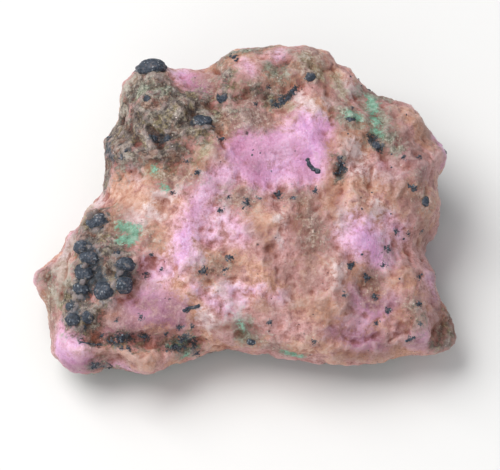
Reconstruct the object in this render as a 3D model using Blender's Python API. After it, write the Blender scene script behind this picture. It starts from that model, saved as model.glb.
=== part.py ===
"""A rough lump of pink stone with dark mineral balls grown on it, lying on its flattest side.

The stone is drawn as it looks face on, across and down its broad face in millimetres, and then laid back so that
this face slopes up and away from the front. The underside is worn flat where it touches the table.
"""

import math

import bmesh
import bpy
import numpy as np
from mathutils import Matrix, Vector, noise
from mathutils.bvhtree import BVHTree

MM = 0.001

# Driving dimensions, in millimetres and degrees
FACE_TILT = math.radians(60.0)  # how far the line of sight to the broad face stands above the table
FACE_LEFT = 3.2  # leftmost point of the outline, across
FACE_RIGHT = 45.5  # rightmost point of the outline, across
FACE_FOOT = 37.6  # lowest point of the outline, down
BODY_CENTRE = (25.0, 22.0)  # middle of the body, across and down
FRONT_BULGE = 6.4  # how far the broad face stands in front of the rim
LEAST_HEIGHT_SHARE = 0.35  # share of that which a hollow leaves
RELIEF_RISE = 0.45  # share of the way up the bulge over which ridges and hollows come in
FRONT_SQUARENESS = 2.5  # 2 is an ellipse, more is a flatter face with steeper sides
BACK_SQUARENESS = 3.6
RIM_HEIGHT_NEAR = 2.3  # height of the rim above the table, at the front
RIM_HEIGHT_FAR = 11.5  # and at the back
DROP_BEHIND = (0.0, 0.25, -1.0)  # which way the sides drop behind; in front they drop away from the viewer
DROP_CHANGE = (6.0, 22.0)  # how far up the face the one gives way to the other
ROUNDING = math.radians(24.0)  # each way, the turn over which the outline is evened out lower down
ROUNDING_STEPS = 15
ROUNDING_DEPTH = (0.1, 0.7)  # shares of the drop between which the outline is evened out
UNDERSIDE_SINK = 0.55  # how far the rough underside is worn away to make its flat patches
SPHERE_LEVEL = 7
FUSING_CELL = 0.26  # the balls are fused to the body in cells of this size
STONE_TRIANGLES = 9700
VIEWER_OUT = 60.0  # a place well in front of the face
TABLE_SIZE = (80.0, 10.0)  # width and thickness of the block whose top is the table

# The outline of the stone seen face on, clockwise from its upper left shoulder: across, down
OUTLINE = [
    (13.5, 6.7), (14.0, 6.1), (15.0, 5.8), (16.1, 6.1), (16.6, 6.6), (17.5, 6.6), (18.4, 6.7), (19.7, 6.6),
    (20.7, 6.4), (21.5, 5.6), (22.6, 4.8), (24.1, 4.4), (25.8, 4.3), (27.2, 4.4), (28.7, 4.3), (29.6, 4.1),
    (30.8, 4.0), (32.0, 4.2), (33.0, 4.9), (33.6, 5.7), (34.4, 6.3), (35.3, 6.7), (36.2, 7.9), (37.3, 8.7),
    (38.4, 9.2), (39.3, 9.6), (40.4, 9.7), (41.3, 10.2), (42.0, 11.0), (42.5, 12.2), (43.1, 13.0), (44.0, 13.8),
    (44.6, 14.8), (44.9, 15.6), (44.6, 16.5), (44.1, 17.2), (43.9, 18.2), (43.8, 19.2), (43.9, 20.2), (43.6, 21.4),
    (43.3, 22.2), (42.8, 23.1), (42.2, 24.2), (42.2, 25.2), (42.8, 26.0), (43.5, 27.1), (43.8, 28.3), (43.9, 29.1),
    (44.3, 30.1), (44.9, 30.8), (45.4, 32.0), (45.5, 33.1), (45.2, 34.3), (44.5, 34.9), (43.3, 35.0), (42.4, 35.4),
    (41.3, 35.4), (40.4, 35.5), (39.0, 36.0), (36.4, 36.2), (33.6, 36.1), (30.7, 36.2), (28.7, 36.1), (27.3, 35.8),
    (26.4, 35.4), (25.0, 35.4), (23.5, 35.4), (22.4, 35.1), (21.5, 35.4), (20.4, 35.7), (18.1, 36.3), (16.4, 36.9),
    (15.8, 37.3), (14.6, 37.6), (13.5, 37.5), (11.8, 37.0), (10.3, 37.3), (8.9, 37.6), (7.7, 37.5), (6.6, 36.9),
    (5.7, 36.0), (5.2, 34.9), (5.0, 33.4), (4.7, 32.0), (4.6, 30.6), (4.0, 29.7), (3.4, 28.8), (3.2, 28.0),
    (3.4, 27.1), (4.3, 26.4), (5.2, 26.0), (6.0, 25.2), (6.4, 24.4), (6.7, 23.4), (7.3, 22.8), (8.0, 22.7),
    (8.2, 21.7), (8.4, 20.8), (9.5, 20.2), (10.1, 19.4), (10.0, 18.2), (10.2, 17.1), (10.3, 15.9), (10.2, 14.8),
    (10.3, 13.6), (10.8, 13.0), (11.3, 12.2), (11.8, 11.0), (11.6, 9.6), (11.8, 8.7), (12.2, 7.9), (13.0, 7.3),
]

# Relief on the broad face: path across and down, radius, height towards the viewer (negative is a hollow)
RIDGES = [
    # the crest that runs from the top lump down the middle of the face
    ([(20.8, 16.5), (19.0, 21.0), (18.0, 25.0), (18.8, 29.0)], 1.7, 0.9),
    ([(34.6, 10.8), (34.4, 15.0), (34.8, 20.0)], 1.3, 0.7),
    # folds that hang down the right half of the face
    ([(27.0, 20.5), (26.6, 25.0), (25.8, 31.5)], 1.5, 0.6),
    ([(32.6, 21.5), (32.8, 26.0), (32.0, 32.0)], 1.6, 0.7),
    ([(38.8, 12.5), (41.2, 15.5), (41.8, 18.5)], 1.5, 0.8),
    ([(40.4, 20.5), (41.6, 23.0)], 1.6, 0.6),
    ([(40.2, 27.5), (42.0, 31.0)], 1.7, 0.8),
    # the edge of the plateau that carries most of the dark balls
    ([(8.8, 23.5), (12.2, 26.0), (11.0, 29.5), (8.2, 32.0)], 1.7, 0.9),
    # the lower lip of the face, above the overhang
    ([(21.5, 32.0), (27.0, 34.2), (33.0, 34.8), (38.5, 34.6)], 1.3, 0.5),
]
GROOVES = [
    # between the smooth facet at the lower left and the lobes below it
    ([(8.0, 33.6), (12.5, 33.8), (17.0, 34.0), (20.0, 34.2)], 0.9, -1.1),
    ([(9.2, 35.9), (11.4, 36.2)], 0.8, -0.9),
    # between the plateau and the smooth facet
    ([(9.5, 32.2), (13.2, 29.3), (15.0, 26.6)], 0.8, -0.8),
    # between the folds
    ([(30.4, 19.5), (29.8, 24.0), (29.0, 29.0)], 1.3, -0.7),
    ([(35.2, 16.2), (33.9, 17.6), (33.6, 19.0)], 0.8, -0.9),
    ([(36.2, 9.4), (37.6, 11.4), (37.2, 14.4)], 0.9, -0.8),
    ([(20.6, 7.6), (21.6, 9.5), (19.8, 11.6)], 1.0, -0.8),
    ([(24.4, 9.6), (28.0, 10.4), (30.6, 8.0)], 1.1, -0.7),
    ([(11.8, 17.6), (15.0, 17.4), (18.0, 15.8)], 1.1, -0.7),
    ([(39.8, 31.0), (39.8, 34.8)], 0.8, -0.9),
    ([(43.6, 31.0), (43.4, 34.4)], 0.7, -1.0),
    ([(34.8, 33.7), (37.6, 33.5)], 0.5, -0.4),
    ([(35.4, 30.6), (37.0, 32.0)], 0.5, -0.4),
]
LUMPS = [
    ([(15.4, 10.6)], 3.2, 1.3),
    ([(18.6, 11.2)], 2.4, 0.8),
    ([(12.6, 15.0)], 2.4, 0.9),
    ([(15.6, 7.2)], 1.8, 0.9),
    ([(25.2, 7.4)], 2.2, 1.1),
    ([(30.4, 6.2)], 2.0, 0.8),
    ([(21.4, 8.4)], 1.4, 0.5),
    ([(13.6, 20.0)], 2.6, 0.8),
    ([(30.6, 12.2)], 2.2, 0.6),
    ([(24.6, 13.9)], 1.8, -0.5),
    ([(28.6, 16.6)], 3.0, -0.6),
    ([(35.8, 24.0)], 1.7, 0.9),
    ([(37.0, 28.4)], 1.8, -0.9),
    ([(43.4, 15.6)], 2.2, 0.7),
    ([(41.6, 33.4)], 1.7, 1.0),
    ([(44.6, 32.6)], 1.8, -1.4),
    ([(7.2, 34.8)], 2.4, 1.7),
    ([(14.0, 36.2)], 1.8, 1.4),
    ([(4.6, 28.0)], 2.2, -0.9),
    ([(14.6, 30.0)], 3.0, -0.9),
    ([(22.0, 31.6)], 2.2, 0.6),
    ([(24.8, 33.6)], 1.2, -0.6),
    ([(29.4, 33.2)], 2.2, 0.5),
    ([(20.0, 25.6)], 1.6, 0.5),
    ([(28.0, 22.4)], 1.8, 0.5),
    ([(36.6, 20.4)], 2.4, 0.4),
]

# The dark balls big enough to feel: across, down, radius
DARK_BALLS = [
    (9.9, 22.2, 1.00), (8.5, 24.5, 0.75), (9.6, 25.6, 0.85), (12.6, 26.6, 0.80), (8.9, 27.5, 0.95),
    (12.4, 28.2, 0.85), (10.8, 29.2, 0.90), (8.7, 28.9, 0.80), (7.4, 30.4, 0.60), (7.7, 31.9, 0.70),
    (9.0, 31.3, 0.60), (22.4, 9.7, 0.65), (20.1, 12.3, 0.70), (14.8, 9.8, 0.50), (15.1, 7.3, 1.15),
    (30.9, 7.8, 0.50), (37.6, 14.6, 0.55), (42.3, 20.2, 0.50), (35.0, 12.0, 0.50), (25.2, 34.0, 0.45),
]
BALL_DEPTH = 0.5  # share of its radius by which a ball's middle sits under the surface

# Unevenness of the whole stone: size of the lumps, height
LUMP_SIZES = [(7.5, 0.75), (3.2, 0.52), (1.8, 0.30)]
LUMP_TOP = 0.6  # share of the height by which a lump's middle stands out
LUMP_FALL = 1.3  # and by which it has fallen one size away
LUMP_BEND = 0.35  # how far the pattern of lumps is bent out of true
LUMP_BEND_SIZE = 1.7
RIM_ROUGHNESS = 0.5  # the rim is calmer than the face, so that the outline holds
RIM_WIDTH = 0.12
SIDE_ROUGHNESS = 1.9  # how much rougher the broken sides are than the face


def start_empty():
    """Removes the objects of the startup scene."""
    for thing in list(bpy.data.objects):
        bpy.data.objects.remove(thing)


def stone_material():
    """Dull waxy pink, the stone's overall colour."""
    material = bpy.data.materials.new("rough_pink_stone")
    material.use_nodes = True
    shader = material.node_tree.nodes["Principled BSDF"]
    shader.inputs["Base Color"].default_value = (0.50, 0.25, 0.24, 1.0)
    shader.inputs["Roughness"].default_value = 0.55
    shader.inputs["Metallic"].default_value = 0.0
    return material


def laid_back(across, down, out):
    """World place, in metres, of points given across and down the face and out of it, in millimetres."""
    up = FACE_FOOT - down
    x = across - (FACE_LEFT + FACE_RIGHT) / 2
    y = up * math.sin(FACE_TILT) - out * math.cos(FACE_TILT)
    z = up * math.cos(FACE_TILT) + out * math.sin(FACE_TILT)
    return np.stack([x, y, z], axis=-1) * MM


def smooth_step(low, high, value):
    """0 below low, 1 above high, and an even curve between."""
    share = np.clip((value - low) / (high - low), 0.0, 1.0)
    return share * share * (3.0 - 2.0 * share)


def outline_reach(angle):
    """How far the outline is from the body's middle, in each direction."""
    points = np.array(OUTLINE) - np.array(BODY_CENTRE)
    turns = np.arctan2(points[:, 1], points[:, 0])
    reach = np.hypot(points[:, 0], points[:, 1])
    order = np.argsort(turns)
    return np.interp(angle, turns[order], reach[order], period=2 * math.pi)


def rounded_reach(angle):
    """The same for a rounder outline, which the sides of the stone take as they go down."""
    turns = np.linspace(-ROUNDING, ROUNDING, ROUNDING_STEPS)
    return np.mean([outline_reach(angle + turn) for turn in turns], axis=0)


def rim_height(down):
    """Height of the rim above the table, in millimetres: low in front and high behind."""
    share = (FACE_FOOT - down) / (FACE_FOOT - min(point[1] for point in OUTLINE))
    return RIM_HEIGHT_NEAR + (RIM_HEIGHT_FAR - RIM_HEIGHT_NEAR) * share


def dome(share, squareness):
    """Height of a squared dome at a share of the way from its middle to its rim."""
    return np.clip(1.0 - share**squareness, 0.0, 1.0) ** (1.0 / squareness)


def distance_to_path(across, down, path):
    """Least distance on the face from each point to a path of one or more points."""
    spot = np.stack([across, down], axis=-1)
    nearest = np.full(len(spot), np.inf)
    for start, end in zip(path, path[1:] or path):
        run = np.array(end) - np.array(start)
        along = ((spot - start) @ run) / max(run @ run, 1e-9)
        foot = np.array(start) + np.clip(along, 0.0, 1.0)[:, None] * run
        nearest = np.minimum(nearest, np.linalg.norm(spot - foot, axis=1))
    return nearest


def relief(across, down):
    """How far the ridges, grooves and lumps lift the broad face, in millimetres."""
    lift = np.zeros(len(across))
    for path, radius, height in RIDGES + GROOVES + LUMPS:
        lift += height * np.exp(-((distance_to_path(across, down, path) / radius) ** 2))
    return lift


def body_points(directions):
    """Places, in metres, on the smooth body for directions on a unit sphere whose +Z is out of the face."""
    share = np.hypot(directions[:, 0], directions[:, 1])
    angle = np.arctan2(directions[:, 1], directions[:, 0])
    drop = np.where(directions[:, 2] < 0, dome(share, BACK_SQUARENESS), 0.0)
    rounder = smooth_step(*ROUNDING_DEPTH, drop)
    reach = ((1.0 - rounder) * outline_reach(angle) + rounder * rounded_reach(angle)) * share
    across = BODY_CENTRE[0] + reach * np.cos(angle)
    down = BODY_CENTRE[1] + reach * np.sin(angle)
    up = FACE_FOOT - down
    rim_out = (rim_height(down) - up * math.cos(FACE_TILT)) / math.sin(FACE_TILT)

    front = directions[:, 2] >= 0
    lifted = np.where(front, dome(share, FRONT_SQUARENESS), 0.0)
    relief_share = smooth_step(0.0, RELIEF_RISE, directions[:, 2])
    smooth_height = FRONT_BULGE * lifted
    height = smooth_height + relief(across, down) * relief_share
    out = rim_out + np.maximum(height, LEAST_HEIGHT_SHARE * smooth_height)
    places = laid_back(across, down, out)

    # The back drops from the rim to the table: straight away from the viewer in front, straight down behind.
    away = np.array([0.0, math.cos(FACE_TILT), -math.sin(FACE_TILT)])
    behind = smooth_step(*DROP_CHANGE, up)[:, None]
    fall = (1.0 - behind) * away + behind * np.array(DROP_BEHIND)
    depth = (places[:, 2] + UNDERSIDE_SINK * MM) / -fall[:, 2]
    return places + fall * (depth * drop)[:, None]


def unevenness(place):
    """Outward push, in millimetres, at a place given in millimetres: rounded lumps of three sizes."""
    push = 0.0
    for size, height in LUMP_SIZES:
        bent = place / size + LUMP_BEND * noise.noise_vector(place / (LUMP_BEND_SIZE * size))
        near = noise.voronoi(bent)[0][0]
        push += height * (LUMP_TOP - LUMP_FALL * near * near)
    return push


def rough_body():
    """The stone's body in its final place, dense enough to carve, as a bmesh."""
    shape = bmesh.new()
    bmesh.ops.create_icosphere(shape, subdivisions=SPHERE_LEVEL, radius=1.0)
    directions = np.array([vertex.co for vertex in shape.verts])
    directions[:, 2] *= -1  # down the face runs the other way from up, so the sphere is mirrored
    for vertex, place in zip(shape.verts, body_points(directions)):
        vertex.co = place
    bmesh.ops.recalc_face_normals(shape, faces=shape.faces)
    shape.normal_update()
    height = directions[:, 2]
    roughness = RIM_ROUGHNESS + (1.0 - RIM_ROUGHNESS) * smooth_step(0.0, RIM_WIDTH, np.abs(height))
    side = smooth_step(0.02, 0.2, -height) * (1.0 - smooth_step(0.6, 0.85, -height))
    roughness *= 1.0 + (SIDE_ROUGHNESS - 1.0) * side
    pushes = [unevenness(vertex.co / MM) * share for vertex, share in zip(shape.verts, roughness)]
    for vertex, push in zip(shape.verts, pushes):
        vertex.co += vertex.normal * push * MM
    shape.normal_update()
    return shape


def add_dark_balls(shape):
    """Sets the balls into the face of the body, each still a shape of its own."""
    body = BVHTree.FromBMesh(shape)
    sight = Vector((0.0, math.cos(FACE_TILT), -math.sin(FACE_TILT)))
    for across, down, radius in DARK_BALLS:
        near_viewer = Vector(laid_back(np.float64(across), np.float64(down), np.float64(VIEWER_OUT)))
        place, normal, _, _ = body.ray_cast(near_viewer, sight)
        outwards = (normal - sight).normalized()
        middle = place - outwards * radius * BALL_DEPTH * MM
        bmesh.ops.create_icosphere(
            shape, subdivisions=3, radius=radius * MM, matrix=Matrix.Translation(middle)
        )


def table_cutter():
    """A slab whose top is the table, which takes off all of the stone that would be below it."""
    width, thickness = TABLE_SIZE
    bpy.ops.mesh.primitive_cube_add(size=1.0, location=(0.0, 0.0, -thickness / 2 * MM))
    slab = bpy.context.object
    slab.name = "table_cutter"
    slab.scale = (width * MM, width * MM, thickness * MM)
    slab.hide_render = True
    slab.display_type = "WIRE"
    return slab


def add_stone():
    """The stone as one object: carved body with its balls fused to it, and its underside worn flat."""
    shape = rough_body()
    add_dark_balls(shape)
    mesh = bpy.data.meshes.new("raw_ruby")
    shape.to_mesh(mesh)
    shape.free()
    stone = bpy.data.objects.new("raw_ruby", mesh)
    bpy.context.scene.collection.objects.link(stone)
    mesh.materials.append(stone_material())

    fused = stone.modifiers.new("fused", "REMESH")
    fused.mode = "VOXEL"
    fused.voxel_size = FUSING_CELL * MM
    fused.use_smooth_shade = True
    bpy.context.view_layer.update()
    cells = len(stone.evaluated_get(bpy.context.evaluated_depsgraph_get()).data.polygons)
    fewer = stone.modifiers.new("fewer_faces", "DECIMATE")
    fewer.ratio = STONE_TRIANGLES / (2 * cells)
    worn = stone.modifiers.new("worn_flat", "BOOLEAN")
    worn.operation = "DIFFERENCE"
    worn.object = table_cutter()
    return stone


def centre_on_origin(stone):
    """Moves everything along the table so that the origin is under the middle of the stone's box."""
    bpy.context.view_layer.update()
    shown = stone.evaluated_get(bpy.context.evaluated_depsgraph_get())
    corners = np.array([stone.matrix_world @ Vector(corner) for corner in shown.bound_box])
    middle = (corners.min(axis=0) + corners.max(axis=0)) / 2
    shift = Vector((-middle[0], -middle[1], 0.0))
    for thing in bpy.data.objects:
        thing.location += shift


def main():
    start_empty()
    stone = add_stone()
    centre_on_origin(stone)


main()
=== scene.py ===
import math
import random

import bpy
import numpy as np
from mathutils import Euler, Matrix, Vector, noise
from mathutils.bvhtree import BVHTree


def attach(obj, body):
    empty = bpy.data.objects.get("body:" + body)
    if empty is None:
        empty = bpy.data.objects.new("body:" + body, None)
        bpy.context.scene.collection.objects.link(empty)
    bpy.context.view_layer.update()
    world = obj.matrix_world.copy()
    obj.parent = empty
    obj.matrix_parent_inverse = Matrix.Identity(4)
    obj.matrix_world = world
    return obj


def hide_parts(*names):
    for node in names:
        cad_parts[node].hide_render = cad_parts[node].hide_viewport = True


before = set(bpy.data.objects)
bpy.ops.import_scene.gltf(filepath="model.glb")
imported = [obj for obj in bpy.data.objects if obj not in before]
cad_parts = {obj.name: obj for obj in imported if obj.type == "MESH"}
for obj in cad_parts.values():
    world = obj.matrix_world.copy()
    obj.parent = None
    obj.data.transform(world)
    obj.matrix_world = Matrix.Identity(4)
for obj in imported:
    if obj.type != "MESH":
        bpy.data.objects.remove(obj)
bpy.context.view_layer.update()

mm = 0.001

# The broad face is read across and down, in mm, as it looks from straight in front of it.
viewing = {
    "lookDown": 60.0,  # degrees above the table
    "originOnFace": (24.50, 24.51),  # where the line of sight to the origin crosses the face
    "pictureMiddle": (25.0, 23.5),
    "pictureWidth": 50.0,  # mm of the face that the picture's width shows
    "middleHeight": 6.0,  # mm above the table where that width is true
    "lensLength": 300.0,
}

lookDown = math.radians(viewing["lookDown"])
faceAcross = np.array((1.0, 0.0, 0.0))
faceUp = np.array((0.0, math.sin(lookDown), math.cos(lookDown)))
faceOut = np.array((0.0, -math.cos(lookDown), math.sin(lookDown)))


def onFace(across, down, out=0.0):
    # a place in metres, from mm across and down the face and out of it
    side = (across - viewing["originOnFace"][0]) * faceAcross
    up = (viewing["originOnFace"][1] - down) * faceUp
    return Vector((side + up + out * faceOut) * mm)


def smoothStep(low, high, value):
    share = np.clip((value - low) / (high - low), 0.0, 1.0)
    return share * share * (3.0 - 2.0 * share)


def pickOnly(piece):
    bpy.ops.object.select_all(action="DESELECT")
    piece.select_set(True)
    bpy.context.view_layer.objects.active = piece


def applyModifiers(piece):
    pickOnly(piece)
    for modifier in list(piece.modifiers):
        bpy.ops.object.modifier_apply(modifier=modifier.name)


def cloudTexture(name, size, depth=2, basis="ORIGINAL_PERLIN"):
    texture = bpy.data.textures.new(name, "CLOUDS")
    texture.noise_scale = size * mm
    texture.noise_depth = depth
    texture.noise_basis = basis
    return texture


def knobTexture(name, size):
    texture = bpy.data.textures.new(name, "VORONOI")
    texture.noise_scale = size * mm
    texture.distance_metric = "DISTANCE"
    texture.weight_1 = -1.0
    texture.noise_intensity = 1.0
    return texture


def displace(piece, name, texture, height, middle=0.5, group=""):
    modifier = piece.modifiers.new(name, "DISPLACE")
    modifier.texture = texture
    modifier.texture_coords = "LOCAL"
    modifier.strength = height * mm
    modifier.mid_level = middle
    modifier.vertex_group = group
    return modifier


def meshPoints(piece):
    points = np.empty(len(piece.data.vertices) * 3, np.float32)
    piece.data.vertices.foreach_get("co", points)
    return points.reshape(-1, 3).astype(float)


def meshNormals(piece):
    normals = np.empty(len(piece.data.vertices) * 3, np.float32)
    piece.data.vertex_normals.foreach_get("vector", normals)
    return normals.reshape(-1, 3).astype(float)


def placePoints(piece, points):
    piece.data.vertices.foreach_set("co", points.astype(np.float32).ravel())
    piece.data.update()


# The stone's surface
stoneShape = {
    "cell": 0.212,  # mm between the points of the fine surface
    "evenOut": 4,
    "lumps": (2.3, 0.50),  # size and height in mm, and so on below
    "knobs": (1.05, 0.32),
    "smallKnobs": (0.62, 0.13),
    "grit": (0.42, 0.24),
    "knobLevel": 0.62,  # the pattern's value at which the surface stays where it is
    "gritShares": (0.35, 0.15, 0.5),  # on rough places, everywhere, and in the rock
    "calm": 0.7,  # share of the relief that a smooth place goes without
    "calmEdge": 0.8,  # mm over which it fades in, on either side of the place's edge
    "flatHeight": 0.5,  # mm above the table, below which the worn patches underneath stay flat
    "reliefWander": 0.4,  # how unevenly dents and crevices run, as a share of a patch's wander
    "folds": ([(28.4, 20.4), (28.6, 31.0)], 2.6),  # path and radius in mm of the place with long folds
    "foldWidth": 1.25,
    "foldLength": 5.5,
    "foldHeight": 0.12,
    "foldShift": 9.1,  # which part of the noise the folds are taken from
    "foldEdge": (2.0, -1.0),  # mm from that place between which the folds fade in
    "crevices": [(2.6, (4.1, 7.3, 1.9), 0.13), (1.5, (8.3, 2.2, 6.6), 0.08)],  # size, shift, depth
    "creviceWidth": 0.11,
    "creviceBreaks": (-0.1, 0.3),  # levels of the pattern that lets a crevice run or stop
    "creviceEdge": (-0.6, 1.0),  # mm from the folds between which crevices fade in
    "crust": 0.07,
    "crustEdge": (0.4, 0.8),  # how green it is where the crust begins and where it is whole
    "hollows": {"hollow": (8, 3.0), "deepHollow": (40, 1.3)},  # rounds of evening out, and strength
}

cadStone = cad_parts["raw_ruby"]
stone = bpy.data.objects.new("stone", cadStone.data.copy())
bpy.context.scene.collection.objects.link(stone)
pickOnly(stone)
bpy.ops.object.mode_set(mode="EDIT")
bpy.ops.mesh.select_all(action="SELECT")
bpy.ops.mesh.remove_doubles(threshold=1e-6)
bpy.ops.object.mode_set(mode="OBJECT")

rounded = stone.modifiers.new("rounded", "SUBSURF")
rounded.levels = rounded.render_levels = 1
cells = stone.modifiers.new("cells", "REMESH")
cells.mode = "VOXEL"
cells.voxel_size = stoneShape["cell"] * mm
even = stone.modifiers.new("even", "SMOOTH")
even.factor = 0.5
even.iterations = stoneShape["evenOut"]
applyModifiers(stone)
print("fine surface:", len(stone.data.vertices), "points")


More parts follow.
